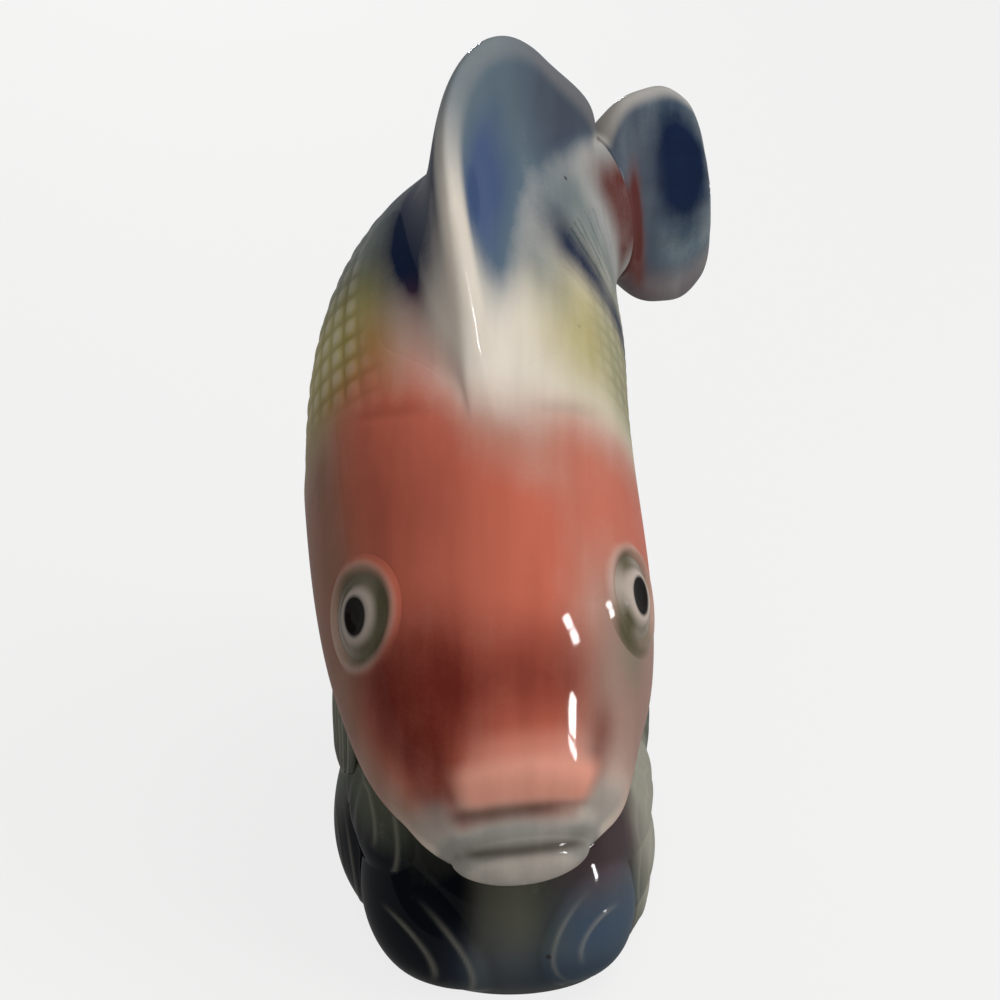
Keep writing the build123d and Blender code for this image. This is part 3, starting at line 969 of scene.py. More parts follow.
def skin_relief(trunk, size, along, round_it):
    """Folds of the face and the edges of the gill covers, in millimetres.

    Folds are bell curves across the mouth line. The gill cover is a step that fades forwards.
    """
    away = np.abs(np.degrees(round_it))
    mouth = mouth_line(along, round_it)
    relief = -FACE_TUCK * (1 - rise(along, 0, TUCK_END)) + 0 * round_it
    for place, spread, height, reach in FACE_FOLDS:
        fold = height * hump(mouth, place, spread)
        relief = relief + fold * (1 - rise(away, reach - FOLD_SOFT, reach + FOLD_SOFT))
    past, strength = gill_edge(along, round_it)
    cover = (1 - rise(past, -GILL_STEP, GILL_STEP)) * np.exp(-np.clip(-past, 0, None) / GILL_FADE)
    relief = relief + strength * (size.gill_rise * cover - shade(past, GILL_GROOVE))
    return relief * rise(along, -trunk.snout, -RELIEF_START * trunk.snout)


def body_relief(trunk, size, along, round_it):
    """Relief of the body in millimetres, the painted shade in its hollows, and the tops of the
    scales.

    Scales lie behind the gill covers and end beside the dorsal fin. The skin is sunk under the
    fin and under the eyes.
    """
    degrees = np.degrees(round_it)
    away = np.abs(degrees)
    relief = skin_relief(trunk, size, along, round_it)
    height = fin_heights(size, along)
    across = np.abs(round_it) * fin_girth(trunk, along)
    beside = np.ones_like(relief)
    for side in (-1, 1):
        past_rim = across - fin_rim(size, along, height, side)
        here = rise(height, *SEAT_HEIGHTS) * (np.sign(round_it) == side)
        relief = relief - FIN_SEAT * (1 - rise(past_rim, *SEAT_EDGE)) * here
        beside = beside - (1 - rise(past_rim, *SCALES_BESIDE)) * here
        turn, stretch, girth = eye_places(trunk, size, side)
        reach = np.hypot((along - size.eye_along) * stretch, (np.pi / 2 - round_it - turn) * girth)
        outside, inside = SOCKET_EDGE
        socket = 1 - rise(reach, size.eyeball_radius + outside, size.lid_radius - inside)
        relief = relief - SOCKET_DEPTH * socket
    past, strength = gill_edge(along, round_it)
    scales = scale_cells(trunk, size, along, round_it)
    flanks = RIGHT_SCALES * rise(degrees, *SCALES_RIGHT) + rise(-degrees, *SCALES_LEFT)
    scaled = rise(past, *SCALE_STARTS) * flanks * (1 - rise(along, *SCALE_ENDS)) * beside
    relief = relief + size.scale_rise * (scales - 1) * scaled
    groove = (1 - rise(scales, *GROOVE_HEIGHTS)) * scaled
    mouth = mouth_line(along, round_it)
    slit = shade(mouth, SLIT_SHADE) * (1 - rise(away, *SLIT_ENDS))
    slit = slit + shade(mouth, LIP_SHADE) * window(degrees, *LIP_REACH)
    # Painted shade in the scale grooves, the mouth slit, under the snout pad and behind the gill
    # edge
    hollow = GROOVE_SHADE * groove + MOUTH_SHADE * slit + shade(past, GILL_SHADE) * strength
    return relief, np.clip(hollow, 0, 1), rise(scales, *TOP_HEIGHTS) * scaled


def sines(degrees, along, waves):
    """Sum of sines of two places, each given by its size and its phase for a step of either."""
    return sum(size * np.sin(turn * degrees + step * along) for size, turn, step in waves)


def tail_strokes(along, degrees):
    """Fine slanting brush strokes on the tail's stalk.

    A sine across the slant, thinned, wavering from side to side and broken along its length.
    """
    across = along + STROKE_SLANT * degrees
    waver = sines(degrees, along, STROKE_WAVER)
    wave = np.sin(2 * np.pi * across / STROKE_PITCH + waver)
    broken = rise(sines(degrees, across, STROKE_BREAKS), *BREAK_EDGE)
    stroke = rise(wave, *STROKE_EDGE) * broken
    return stroke * window(along, *STROKE_ALONG) * window(degrees, *STROKE_ROUND)


def body_surface(size):
    """Grid of the dressed body and its paint masks."""
    trunk = Trunk(size)
    along = body_rows(trunk)[:, None]
    round_it = body_columns(BODY_COLUMNS)[None, :]
    relief, hollow, tops = body_relief(trunk, size, along, round_it)
    turn = np.pi / 2 - round_it
    grid = trunk.lifted(along, turn, relief)
    degrees = np.degrees(round_it)
    masks = {mask: sprayed(along, degrees, passes) for mask, passes in BODY_SPRAYS.items()}
    for mask in ("yellow", "green"):
        masks[mask] = masks[mask] * (1 - SCALE_RUB * tops)
    masks["green"] = masks["green"] + STROKE_STRENGTH * tail_strokes(along, degrees)
    masks["hollow"] = hollow
    return grid, masks


class FIGURINE_OT_body(Operator):
    """Body with its face, gill covers and scales"""
    bl_idname = "figurine.body"
    bl_label = "Glazed Body"

    def execute(self, context):
        size = in_millimetres(context.scene.figurine_sizes)
        hue = context.scene.figurine_colours
        paints = layers(hue, BODY_SPRAYS)
        material = glazed_earthenware("airbrushed_earthenware_body", hue.body_white, paints)
        grid, masks = body_surface(size)
        make_piece("glazed_body", grid, masks, material, "fish_body")
        return {"FINISHED"}


def eye_bearings(trunk, size, side, radius, angle):
    """Place along the body and degrees round it of a polar grid laid on the head round an eye."""
    turn, stretch, girth = eye_places(trunk, size, side)
    along = size.eye_along + radius * np.cos(angle) / stretch
    return along, 90 - np.degrees(turn + side * radius * np.sin(angle) / girth)


def eye_skin(trunk, size, side, radius, angle, lift):
    """Points round an eye, on the head's skin and lifted from it."""
    along, degrees = eye_bearings(trunk, size, side, radius, angle)
    return trunk.lifted(along, np.radians(90 - degrees), lift)


def brush_strokes(side, angle):
    """Cover of the green brushed round an eye: each stroke is a bell curve of the bearing."""
    bare = np.ones_like(angle)
    for bearing, spread, strength in EYE_STROKES[side]:
        away = (np.degrees(angle) - bearing + 180) % 360 - 180
        bare = bare * (1 - strength * hump(away, 0, spread))
    return 1 - bare


def lid_surface(trunk, size, side):
    """Eyelid: a ring that falls steeply to the eyeball and gently to the head.

    Its section is a teardrop round the ring, highest two fifths of the way out.
    """
    angle = np.linspace(0, 2 * np.pi, LID_ROWS, endpoint=False)[:, None]
    bend = np.linspace(0, 2 * np.pi, LID_COLUMNS, endpoint=False)[None, :]
    share = (1 - np.cos(bend)) / 2
    inner = size.eyeball_radius - LID_LAP
    radius = inner + (size.lid_radius - inner) * share + 0 * angle
    over = np.where(bend < np.pi, np.sin(np.pi * share**LID_LEAN) ** 2,
                    -LID_UNDER * np.sin(np.pi * share))
    lift = size.lid_rise * over - LID_SINK * rise(share, *LID_RIM) + 0 * angle
    grid = eye_skin(trunk, size, side, radius, angle, lift)
    drawn = EYE_DROOP[side] * hump(np.degrees(angle), DROOP_BEARING, DROOP_SPREAD)
    brushed = 1 - rise(share - drawn, *LID_BRUSHED)
    head = LID_HEAD_LEAST + (1 - LID_HEAD_LEAST) * rise(share, *LID_HEAD) + 0 * angle
    along, degrees = eye_bearings(trunk, size, side, radius, angle)
    masks = {mask: sprayed(along, degrees, passes) * head for mask, passes in BODY_SPRAYS.items()}
    masks["olive"] = brushed * brush_strokes(side, angle)
    masks["hollow"] = 0 * radius
    return grid, masks


def eyeball_surface(trunk, size, side):
    """Eyeball: a raised ring with a dished pupil, in a shallow trough that is brushed green."""
    profile = np.linspace(BALL_POLE, 1, BALL_ROWS)[:, None]
    angle = np.linspace(0, 2 * np.pi, BALL_COLUMNS, endpoint=False)[None, :]
    radius = size.eyeball_radius * np.minimum(profile * BALL_STRETCH, 1) + 0 * angle
    under = rise(profile, *BALL_UNDER)
    ring = 1 - rise(radius, *BALL_RING)
    dish = 1 - rise(radius, *BALL_DISH)
    lift = size.eyeball_rise * (ring - DISH_DEPTH * dish) - BALL_SINK - BALL_DROP * under
    grid = eye_skin(trunk, size, side, radius, angle, lift)
    oval = radius * np.sqrt(np.cos(angle) ** 2 + (np.sin(angle) / PUPIL_OVAL) ** 2)
    inside, outside = PUPIL_EDGE
    masks = {mask: cover[side] + 0 * radius for mask, cover in BALL_WASHES.items()}
    masks["olive"] = rise(radius, *BALL_BRUSHED) * brush_strokes(side, angle)
    masks["pupil"] = 1 - rise(oval, size.pupil_radius - inside, size.pupil_radius + outside)
    masks["hollow"] = 0 * radius
    return grid, masks


class FIGURINE_OT_eyes(Operator):
    """Two eyelids and two eyeballs"""
    bl_idname = "figurine.eyes"
    bl_label = "Eyes"

    def execute(self, context):
        size = in_millimetres(context.scene.figurine_sizes)
        hue = context.scene.figurine_colours
        trunk = Trunk(size)
        paints = layers(hue, (*BODY_SPRAYS, "olive", "pupil"))
        material = glazed_earthenware("brush_painted_earthenware_eye", hue.body_white, paints)
        for side, hand in ((-1, "left"), (1, "right")):
            lid, lid_masks = lid_surface(trunk, size, side)
            make_piece(f"glazed_eyelid_{hand}", lid, lid_masks, material,
                       f"eyelid_{hand}", ring=True)
            ball, ball_masks = eyeball_surface(trunk, size, side)
            make_piece(f"glazed_eyeball_{hand}", ball, ball_masks, material,
                       f"eyeball_{hand}")
        return {"FINISHED"}


def fin_heights(size, along):
    """Height of the dorsal fin above the back along the body; below zero where there is none."""
    table = np.array(FIN_HEIGHTS)
    held = np.clip(along, table[0, 0], table[-1, 0])
    return size.fin_height * spline(table[:, 0], table[:, 1], np.asarray(held)[..., 0])


def fin_girth(trunk, along):
    """Millimetres of skin for a radian round the back."""
    sizes = trunk.frame_at(np.asarray(along)[..., 0])[4]
    return (sizes[:, 0:1] + sizes[:, 1:2]) / 2


def fin_widths(size, along, height, side):
    """Widths of the rounded edge, the taper and the hollow flare on one side of the fin."""
    slim = EDGE_SLIM + (1 - EDGE_SLIM) * rise(along, *SLIM_ALONG)
    taper = (size.fin_root_half - size.fin_edge_half) * np.clip(height / size.fin_height, 0, 1)
    flare = size.fin_flare_right if side > 0 else size.fin_flare_left
    grown = FLARE_LEAST + (1 - FLARE_LEAST) * rise(height, 0, FLARE_GROWN * size.fin_height)
    return size.fin_edge_half * slim, taper, flare * grown


def fin_rim(size, along, height, side):
    """Place across the back at which the fin runs out into the skin."""
    return sum(fin_widths(size, along, height, side))


def fin_profile(size, along, height, side, steps):
    """Half section of the dorsal fin, from the top of its edge down into the back.

    At a share v of the height the half thickness is a rounded edge, edge * (1 - v**4)**0.5, a
    taper that grows with 1 - v, and a hollow flare * (1 - v**0.4)**2.2, which runs level into the
    back. Gives the offset to the side and the height.
    """
    share = np.linspace(0, 1, steps)[None, :]
    level = np.cos(share * np.pi / 2) ** STEP_POWER
    edge, taper, flare = fin_widths(size, along, height, side)
    start, hollow = FLARE_POWERS
    across = edge * np.sqrt(1 - level**EDGE_POWER) + taper * (1 - level)
    across = across + flare * (1 - level**start) ** hollow
    up = height * level - FIN_LIP * rise(share, *LIP_SHARES)
    return across, up


def dorsal_surface(size):
    """Dorsal fin: its section stands on the skin and leans back along the fin's sweep."""
    trunk = Trunk(size)
    table = np.array(FIN_HEIGHTS)
    after, before = FIN_INSET
    along = np.linspace(table[0, 0] + after, table[-1, 0] - before, FIN_ROWS)[:, None]
    height = fin_heights(size, along)
    left_across, left_up = fin_profile(size, along, height, -1, FIN_STEPS)
    right_across, right_up = fin_profile(size, along, height, 1, FIN_STEPS)
    across = np.concatenate([-left_across[:, ::-1], right_across[:, 1:]], axis=1)
    up = np.concatenate([left_up[:, ::-1], right_up[:, 1:]], axis=1)
    _, right, above, tail, _ = trunk.frame_at(along[:, 0])
    turn = np.pi / 2 - across / fin_girth(trunk, along)
    sweep = np.radians(FIN_SWEEP) * np.clip((along - SWEEP_START) / SWEEP_LENGTH, 0, 1)
    lean = -size.fin_tip_offset * spline(table[:, 0], table[:, 2], along[:, 0])
    lean = lean * np.clip(up, 0, None) / size.fin_height
    direction = above[:, None, :] * np.cos(sweep)[..., None]
    direction = direction + tail[:, None, :] * np.sin(sweep)[..., None]
    rays = FIN_RAY_HEIGHT * np.cos(2 * np.pi * along / FIN_RAY_PITCH)
    rays = rays * window(up / size.fin_height, *FIN_RAY_SHARES)
    rays = rays * np.sign(across) * rise(along, *FIN_RAY_ALONG)
    skin = trunk.lifted(along, turn, skin_relief(trunk, size, along, np.pi / 2 - turn))
    grid = skin + direction * up[..., None] + right[:, None, :] * (lean + rays)[..., None]
    edge = size.fin_edge_half
    ridge = rise(up - height + edge * RIDGE_DEPTH, 0, edge * RIDGE_SOFT)
    ridge = ridge * rise(height, *RIDGE_HEIGHTS)
    front = 1 - rise(along, *RIDGE_FADES)
    left = rise(-across, *LEFT_SIDE)
    right_side = 1 - left
    tall = np.clip(up / size.fin_height, 0, 1)
    free = rise(up, *FIN_FREE)
    masks = {mask: sprayed(along, np.degrees(np.pi / 2 - turn), passes) * (1 - free)
             for mask, passes in BODY_SPRAYS.items()}
    masks["navy"] = masks["navy"] + left * rise(along, *NAVY_ALONG) * rise(up, *NAVY_UP)
    masks["slate"] = masks["slate"] + rise(along, *SLATE_ALONG) * right_side * free
    cobalt = window(along, *COBALT_ALONG) * window(tall, *COBALT_SHARES)
    masks["cobalt"] = cobalt * right_side * free
    masks["purple"] = rise(along, *PURPLE_ALONG) * right_side * free * PURPLE_COVER
    ridge = ridge * (RIDGE_REAR + RIDGE_FRONT * front) * (1 - left * RIDGE_LEFT)
    masks["ridge"] = ridge * rise(up, *RIDGE_UP)
    masks["hollow"] = 0 * up
    return grid, masks


class FIGURINE_OT_dorsal_fin(Operator):
    """Dorsal fin with its white ridge"""
    bl_idname = "figurine.dorsal_fin"
    bl_label = "Dorsal Fin"

    def execute(self, context):
        size = in_millimetres(context.scene.figurine_sizes)
        hue = context.scene.figurine_colours
        paints = layers(hue, (*BODY_SPRAYS, "cobalt", "purple")) + [("ridge", hue.body_white)]
        material = glazed_earthenware("airbrushed_earthenware_dorsal_fin", hue.body_white, paints)
        grid, masks = dorsal_surface(size)
        make_piece("glazed_dorsal_fin", grid, masks, material, "dorsal_fin")
        return {"FINISHED"}


def ray_wave(place):
    """1 on the rays of a flat fin and -1 between them."""
    return np.cos(np.pi * RAY_COUNT * place)


def blade_grid(origin, across, chordwise, axis, table, sizes, rays):
    """Flat fin along an axis: oval sections whose half chord and half thickness follow a table.

    Rays are ridges that fan out from the root, cos(pi * count * place across the chord). The root
    starts a little inside what carries it and swells out of its skin.
    Gives the grid, the place along, the place across the chord and the side.
    """
    length_of, half_chord, half_thickness, droop = sizes
    table = np.array(table)
    angle = np.linspace(-BLADE_TUCK, np.pi / 2, BLADE_ROWS)
    along = np.sin(angle)[:, None]
    turn = np.linspace(0, 2 * np.pi, BLADE_COLUMNS, endpoint=False)[None, :]
    row = spline(table[:, 0], table[:, 1:], np.clip(along[:, 0], 0, None))
    seat = ROOT_SHARE + ROOT_SWELL * rise(along, -BLADE_TUCK, -ROOT_OUT * BLADE_TUCK)
    seat = seat - ROOT_FALL * rise(along, 0, ROOT_LENGTH)
    chord = half_chord * np.clip(row[:, 0:1], LEAST_CHORD, None) * seat
    thick = half_thickness * row[:, 1:2] * seat
    fullness = SECTION_FULLNESS - RIM_SHARPER * rise(along, 0, RIM_LENGTH)
    place = np.sin(turn) + 0 * along
    face, flat = np.sign(np.cos(turn)), np.abs(np.cos(turn))
    ribs = rays * ray_wave(place) * window(along, *RAY_REACH) * flat**RAY_THIN
    side = thick * face * flat**fullness + ribs * face
    up = chord * place - droop * along
    out = length_of * along + 0 * turn
    grid = origin + across * side[..., None] + chordwise * up[..., None] + axis * out[..., None]
    return grid, along + 0 * turn, place, np.cos(turn) + 0 * along


def tail_surface(size):
    """Tail fan on the end of the body."""
    trunk = Trunk(size)
    spine, right, above, tail, _ = trunk.frame_at(np.array(trunk.end))
    sizes = (size.tail_length, size.tail_half_height, size.tail_half_thickness, size.tail_droop)
    grid, along, place, face = blade_grid(spine, right, above, tail, TAIL_SHARES, sizes, TAIL_RAYS)
    rim = np.maximum(rise(along, *TAIL_RIM_ALONG), rise(np.abs(place), *TAIL_RIM_ACROSS))
    (middle, level), (half, half_up) = TAIL_NAVY_MIDDLE, TAIL_NAVY_HALVES
    blot = np.hypot((along - middle) / half, (place - level) / half_up)
    brick = window(along, *TAIL_BRICK_ALONG) * window(place, *TAIL_BRICK_ACROSS)
    masks = {
        "slate": TAIL_SLATE + 0 * along,
        "navy": 1 - rise(blot, *TAIL_NAVY_FADES),
        "purple": (1 - rise(along, *TAIL_PURPLE_FADES)) * TAIL_PURPLE,
        "taupe": (1 - rise(place, *TAIL_TAUPE_FADES)) * TAIL_TAUPE,
        "brick": brick * rise(face, *TAIL_BRICK_SIDE),
        # Upper rim: partly pale paint and partly a painted highlight
        "ridge": rim * rise(place, *TAIL_RIDGE_STARTS) * TAIL_RIM_AND_HIGHLIGHT,
        "hollow": 0 * along,
    }
    return grid, masks


class FIGURINE_OT_tail_fin(Operator):
    """Tail fan"""
    bl_idname = "figurine.tail_fin"
    bl_label = "Tail Fin"

    def execute(self, context):
        size = in_millimetres(context.scene.figurine_sizes)
        hue = context.scene.figurine_colours
        paints = layers(hue, ("slate", "navy", "purple", "taupe", "brick"))
        paints.append(("ridge", hue.body_white))
        material = glazed_earthenware("airbrushed_earthenware_tail_fin", hue.body_white, paints)
        grid, masks = tail_surface(size)
        make_piece("glazed_tail_fin", grid, masks, material, "tail_fin")
        return {"FINISHED"}


def deck_height(trunk, size, along):
    """Height of the foot's top: one lap above the straight line under the belly."""
    front, rear = (trunk.point(trunk.knots[knot], np.array(-np.pi / 2)) for knot in DECK_KNOTS)
    slope = (rear[2] - front[2]) / (rear[1] - front[1])
    return front[2] + size.foot_lap + slope * (along - front[1])


def pectoral_surface(size, side):
    """Pectoral fin from the flank down to the foot's side."""
    trunk = Trunk(size)
    knot = trunk.knots[PECTORAL_KNOT]
    root = trunk.point(knot, np.array(np.pi / 2 - side * radians(PECTORAL_BEARING)))
    out, ahead, up = PECTORAL_AIM_SHARES
    aim = np.array([size.foot_half_width * (FOOT_MIDDLE_SHARE + side * out),
                    size.foot_half_length * ahead,
                    deck_height(trunk, size, -size.foot_half_length) * up])
    axis = unit(aim - root)
    nose = -trunk.frame_at(knot)[3]
    chord = unit(nose - axis * (nose @ axis))
    sizes = (size.pectoral_length, size.pectoral_half_chord, size.pectoral_half_thickness, 0)
    start = root - axis * size.pectoral_sink
    across = np.cross(chord, axis)
    grid, along, place, _ = blade_grid(start, across, chord, axis,
                                       PECTORAL_SHARES, sizes, PECTORAL_RAYS)
    masks = {
        "sea": PECTORAL_SEA + 0 * along,
        "deep": rise(along, 0.5, 1.0) * PECTORAL_DEEP,
        "foam": PECTORAL_FOAM + 0 * along,
        "crest": PECTORAL_CREST * rise(ray_wave(place), 0.4, 1.0) * rise(along, 0.2, 0.5),
        # Painted shade in the grooves between the rays
        "hollow": PECTORAL_RAY_SHADE * rise(-ray_wave(place), 0.5, 1.0),
    }
    return grid, masks


def wave_material(hue):
    """Dark sprayed waves over white earthenware, shared by the foot and the side fins."""
    material = bpy.data.materials.get("airbrushed_earthenware_waves")
    if material is None:
        paints = layers(hue, (*FOOT_SPRAYS, "biscuit")) + [("crest", hue.foam)]
        material = glazed_earthenware("airbrushed_earthenware_waves", hue.body_white, paints)
    return material


class FIGURINE_OT_pectoral_fins(Operator):
    """Two pectoral fins"""
    bl_idname = "figurine.pectoral_fins"
    bl_label = "Pectoral Fins"

    def execute(self, context):
        size = in_millimetres(context.scene.figurine_sizes)
        material = wave_material(context.scene.figurine_colours)
        for side, hand in ((-1, "left"), (1, "right")):
            grid, masks = pectoral_surface(size, side)
            name = f"glazed_pectoral_fin_{hand}"
            make_piece(name, grid, masks, material, f"pectoral_fin_{hand}")
        return {"FINISHED"}


def foot_plan(count):
    """Closed smooth plan of the foot in shares; its spline overlaps itself by a few points."""
    shares = np.array(FOOT_PLAN_SHARES)[::-1]
    lap = 4
    wrapped = np.concatenate([shares[-lap:], shares, shares[:lap]])
    knots = np.arange(-lap, len(shares) + lap)
    return spline(knots, wrapped, np.linspace(0, len(shares), count, endpoint=False))


def wave_relief(size, place, height, half_girth):
    """Waves on the foot: the highest of several tilted domes, each with two thin crest lines.

    A dome is stand * (1 - reach**2) over its ellipse. Its crest lines are thin ridges at fixed
    reaches, on the upper side of the wave that faces the front.
    """
    relief = np.zeros(np.broadcast(place, height).shape)
    crest = np.zeros_like(relief)
    for middle, level, wide, tall, stand in WAVE_SHARES:
        tilt = radians(WAVE_TILT if middle > 0 else -WAVE_TILT)
        across = half_girth * ((place - middle + 1) % 2 - 1)
        above = height - size.wave_half_height * level
        along = (across * cos(tilt) + above * sin(tilt)) / (size.wave_half_width * wide)
        upward = (above * cos(tilt) - across * sin(tilt)) / (size.wave_half_height * tall)
        reach = np.hypot(along, upward)
        bearing = np.degrees(np.arctan2(upward, -np.sign(middle) * along))
        lines = sum(hump(reach, line, thin) * window(bearing, low, high, CREST_SOFT)
                    for line, thin, low, high in CREST_LINES)
        dome = size.wave_stand * stand * (1 - reach**2)
        higher = dome > relief
        relief = np.where(higher, dome, relief)
        crest = np.where(higher, lines, crest)
    valley = VALLEY_SHADE * hump(relief, 0, VALLEY_SPREAD)
    stand = (relief + CREST_RISE * crest) * np.clip(height / size.wave_start, 0, 1)
    return stand, np.clip(crest, 0, 1), valley


def base_surface(size):
    """Wave foot: its plan swells up the side, closes over the deck and under a hollow underside.

    Rows run from the drain hole's roof, out along the underside, up the side and in over the
    deck. Waves push the side outwards along the plan's own normal.
    """
    trunk = Trunk(size)
    plan = foot_plan(FOOT_COLUMNS)
    place = plan * (size.foot_half_width, size.foot_half_length)
    ahead = np.roll(place, -1, axis=0) - np.roll(place, 1, axis=0)
    normal = unit(np.stack([ahead[:, 1], -ahead[:, 0]], axis=-1))
    lengths = np.linalg.norm(np.roll(place, -1, axis=0) - place, axis=1)
    around = np.concatenate([[0], np.cumsum(lengths)[:-1]])
    start = np.array(FOOT_PLAN_SHARES[0]) * (size.foot_half_width, size.foot_half_length)
    front = around[np.argmin(np.linalg.norm(place - start, axis=1))]
    half_girth = lengths.sum() / 2
    around = ((around - front + half_girth) % (2 * half_girth) - half_girth)[None, :]
    swell = np.array(FOOT_SWELL_SHARES)
    level = np.linspace(0, 1, FOOT_ROWS)
    scale = spline(swell[:, 0], swell[:, 1], level)
    top = deck_height(trunk, size, place[:, 1])[None, :]
    height = level[:, None] * top
    relief, crest, groove = wave_relief(size, around / half_girth, height, half_girth)
    flutes = FLUTE_DEPTH * (np.cos(2 * np.pi * around / FLUTE_PITCH) - 1)
    flutes = flutes * window(height / top, *FLUTE_SHARES) * window(np.abs(around), *FLUTE_AROUND)
    push = (relief + flutes - size.wave_valley)[..., None]
    side = np.empty((len(level), len(place), 3))
    side[..., :2] = place[None] * scale[:, :, None] + normal[None] * push
    side[..., 2] = level[:, None] * deck_height(trunk, size, side[..., 1])
    inward = np.linspace(1, DECK_END, DECK_ROWS)[1:]
    deck = np.empty((len(inward), len(place), 3))
    deck[..., :2] = side[-1, :, :2][None] * inward[:, None, None]
    crown = DECK_CROWN * np.sin((1 - inward) * np.pi)
    deck[..., 2] = deck_height(trunk, size, deck[..., 1]) + crown[:, None]
    below = under_rows(size, side[0])
    grid = np.concatenate([below, side, deck])
    pad_low, pad_high = np.zeros((len(below), len(place))), np.zeros((len(deck), len(place)))
    masks = {}
    for mask, passes in FOOT_SPRAYS.items():
        cover = sprayed(around, height, passes)
        masks[mask] = np.concatenate([pad_low, cover, pad_high + cover[-1:].mean()])
    masks["crest"] = np.concatenate([pad_low, CREST_COVER * crest, pad_high])
    masks["biscuit"] = np.concatenate([pad_low + 1, 0 * relief, pad_high])
    # Painted shade in the valleys between the waves
    masks["hollow"] = np.concatenate([pad_low, groove, pad_high])
    return grid, masks


def under_rows(size, rim):
    """Underside: a foot ring on the table, a shallow hollow inside it and the drain hole."""
    middle = rim.mean(axis=0)
    spread = rim[:, :2] - middle[:2]
    reach = np.linalg.norm(spread, axis=1)
    hole = spread * (size.drain_radius / reach)[:, None]
    rows = np.empty((len(UNDER_SHARES), len(rim), 3))
    for index, (outer, inner, lift) in enumerate(UNDER_SHARES):
        rows[index, :, :2] = middle[:2] + spread * outer + hole * inner
        rows[index, :, 2] = lift
    return rows


class FIGURINE_OT_wave_base(Operator):
    """Foot modelled as waves"""
    bl_idname = "figurine.wave_base"
    bl_label = "Wave Foot"

    def execute(self, context):
        size = in_millimetres(context.scene.figurine_sizes)
        material = wave_material(context.scene.figurine_colours)
        grid, masks = base_surface(size)
        make_piece("glazed_wave_base", grid, masks, material, "wave_base")
        return {"FINISHED"}


# Camera: looks down as in the photograph, at a target above the foot's middle
CAMERA_TARGET = (0.0, 0.0, 0.060)
CAMERA_DISTANCE = 0.430
CAMERA_ELEVATION = 30.0
CAMERA_LENS = 98.3
CAMERA_SHIFT = (0.012, 0.045)
# Lamps: name, direction from the object, distance, width, height, watts, whether it lights
# the colours and whether the glaze mirrors it
LAMPS = (
    ("upper_pane_lamp", (0.80, -0.47, 0.46), 0.75, 0.085, 0.085, 4.6, False, True),
    ("lower_pane_lamp", (0.80, -0.47, 0.32), 0.75, 0.075, 0.080, 4.0, False, True),
    ("rear_pane_lamp", (-0.15, 0.98, 0.15), 0.75, 0.085, 0.100, 4.6, False, True),
    ("window_lamp", (0.80, -0.46, 0.42), 0.75, 0.30, 0.40, 1.7, True, False),
    ("ceiling_lamp", (0.45, 0.05, 0.88), 0.80, 0.50, 0.50, 3.1, True, False),
    ("room_lamp", (-0.10, -0.85, 0.50), 0.90, 0.60, 0.60, 1.6, True, False),
    ("rear_lamp", (-0.45, 0.85, 0.18), 0.90, 0.60, 0.60, 1.3, True, False),
)
FLOOR_SIZE = 4.0
FLOOR_COLOUR = "B4B2AE"
FLOOR_LIFT = 0.8
WORLD_STRENGTH = 0.27


def plain_floor():
    """Large level floor of matt white paper, partly plain white to the camera and the glaze."""
    half = FLOOR_SIZE / 2
    mesh = bpy.data.meshes.new("paper_floor")
    corners = [(-half, -half, 0), (half, -half, 0), (half, half, 0), (-half, half, 0)]
    mesh.from_pydata(corners, [], [(0, 1, 2, 3)])
    material = bpy.data.materials.new("matt_white_paper")
    material.use_nodes = True
    tree = material.node_tree
    tree.nodes.clear()
    paper = add_node(tree, "ShaderNodeBsdfPrincipled",
                     {"Base Color": linear(FLOOR_COLOUR), "Roughness": 0.9})
    white = add_node(tree, "ShaderNodeEmission", {"Color": linear("FFFFFF"), "Strength": 1.0})
    ray = add_node(tree, "ShaderNodeLightPath").outputs
    mirrored = add_node(tree, "ShaderNodeMath",
                        {0: ray["Is Glossy Ray"], 1: ray["Is Transmission Ray"]},
                        operation="MAXIMUM")
    straight = add_node(tree, "ShaderNodeMath", {0: ray["Is Camera Ray"], 1: mirrored.outputs[0]},
                        operation="MAXIMUM")
    seen = add_node(tree, "ShaderNodeMath", {0: straight.outputs[0], 1: FLOOR_LIFT},
                    operation="MULTIPLY")
    mixed = add_node(tree, "ShaderNodeMixShader",
                     {0: seen.outputs[0], 1: paper.outputs[0], 2: white.outputs[0]})
    add_node(tree, "ShaderNodeOutputMaterial", {"Surface": mixed.outputs[0]})
    mesh.materials.append(material)
    floor = bpy.data.objects.new("paper_floor", mesh)
    bpy.context.scene.collection.objects.link(floor)


def soft_lamp(name, direction, distance, width, height, watts, lighting, mirrored):
    """Rectangular lamp that faces the camera's target."""
    light = bpy.data.lights.new(name, "AREA")
    light.shape = "RECTANGLE"
    light.size = width
    light.size_y = height
    light.energy = watts
    lamp = bpy.data.objects.new(name, light)
    bpy.context.scene.collection.objects.link(lamp)
    out = unit(np.array(direction, float))
    lamp.visible_diffuse = lighting
    lamp.visible_glossy = mirrored
    lamp.location = np.array(CAMERA_TARGET) + out * distance
    back = Vector(out.tolist())
    lamp.rotation_euler = back.to_track_quat("Z", "Y").to_euler()


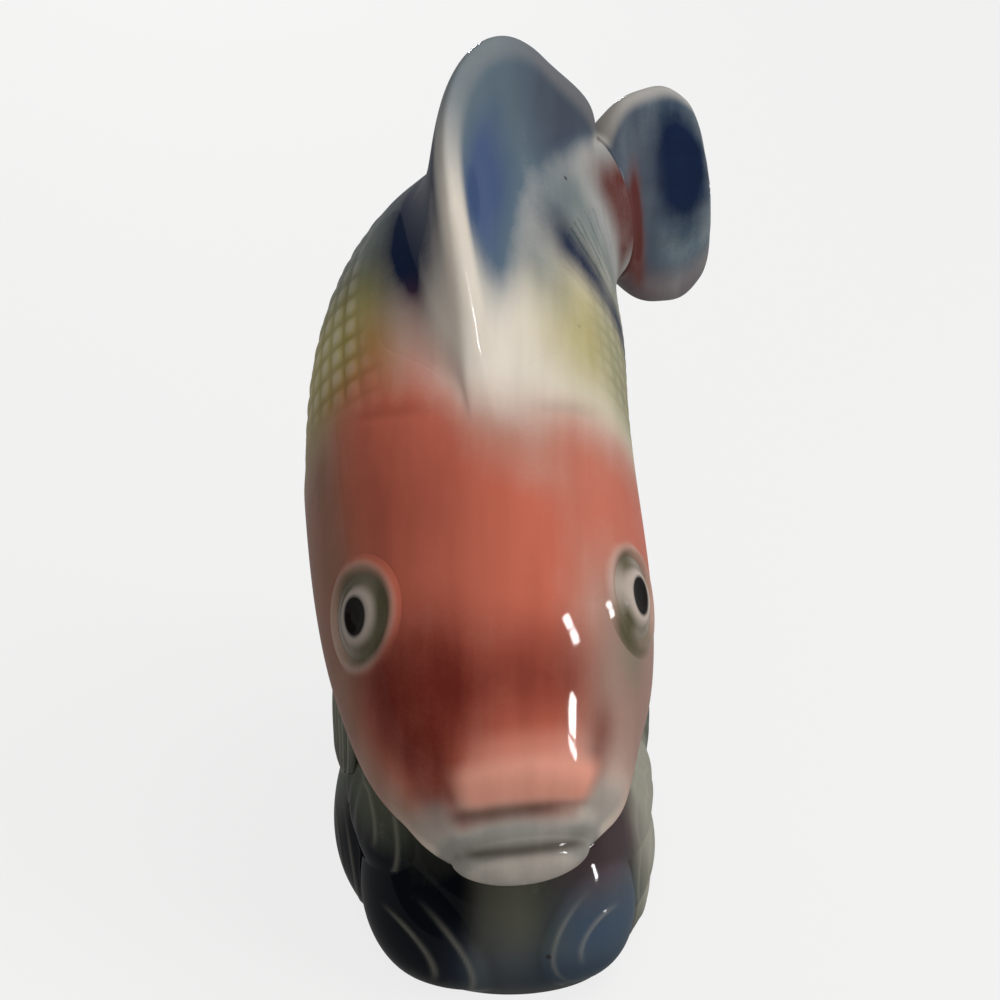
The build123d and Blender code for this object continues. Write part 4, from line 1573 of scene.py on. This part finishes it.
class FIGURINE_OT_stage(Operator):
    """Floor, lamps, sky and camera"""
    bl_idname = "figurine.stage"
    bl_label = "Stage"

    def execute(self, context):
        scene = context.scene
        plain_floor()
        for lamp in LAMPS:
            soft_lamp(*lamp)
        world = bpy.data.worlds.new("pale_studio")
        world.use_nodes = True
        sky = world.node_tree.nodes["Background"]
        sky.inputs["Color"].default_value = linear("FFFFFF")
        sky.inputs["Strength"].default_value = WORLD_STRENGTH
        scene.world = world
        scene.view_settings.view_transform = "Standard"
        lens = bpy.data.cameras.new("photo_camera")
        lens.lens = CAMERA_LENS
        lens.shift_x, lens.shift_y = CAMERA_SHIFT
        lens.clip_start = 0.01
        camera = bpy.data.objects.new("photo_camera", lens)
        scene.collection.objects.link(camera)
        tilt = radians(CAMERA_ELEVATION)
        across, along, up = CAMERA_TARGET
        camera.location = (across, along - CAMERA_DISTANCE * cos(tilt),
                           up + CAMERA_DISTANCE * sin(tilt))
        camera.rotation_euler = (radians(90) - tilt, 0, 0)
        scene.camera = camera
        return {"FINISHED"}


STEPS = (
    FIGURINE_OT_body,
    FIGURINE_OT_eyes,
    FIGURINE_OT_dorsal_fin,
    FIGURINE_OT_tail_fin,
    FIGURINE_OT_pectoral_fins,
    FIGURINE_OT_wave_base,
    FIGURINE_OT_stage,
)


class FIGURINE_PT_sidebar(Panel):
    """Lists the pieces, the sizes and the colours"""
    bl_idname = "FIGURINE_PT_sidebar"
    bl_label = "Glazed Fish Figurine"
    bl_space_type = "VIEW_3D"
    bl_region_type = "UI"
    bl_category = "Figurine"

    def draw(self, context):
        for step in STEPS:
            self.layout.operator(step.bl_idname)
        for group in (context.scene.figurine_sizes, context.scene.figurine_colours):
            column = self.layout.column()
            for name in group.__annotations__:
                column.prop(group, name)


CLASSES = (FigurineSizes, FigurineColours, *STEPS, FIGURINE_PT_sidebar)


def register():
    """Registers the classes and hangs the two groups on the scene."""
    for item in CLASSES:
        bpy.utils.register_class(item)
    bpy.types.Scene.figurine_sizes = PointerProperty(type=FigurineSizes)
    bpy.types.Scene.figurine_colours = PointerProperty(type=FigurineColours)


def unregister():
    """Takes the groups and the classes away again."""
    del bpy.types.Scene.figurine_colours
    del bpy.types.Scene.figurine_sizes
    for item in reversed(CLASSES):
        bpy.utils.unregister_class(item)


def main():
    """Registers the classes, then makes every piece and the stage."""
    register()
    bpy.ops.figurine.body()
    bpy.ops.figurine.eyes()
    bpy.ops.figurine.dorsal_fin()
    bpy.ops.figurine.tail_fin()
    bpy.ops.figurine.pectoral_fins()
    bpy.ops.figurine.wave_base()
    bpy.ops.figurine.stage()


if __name__ == "__main__":
    main()
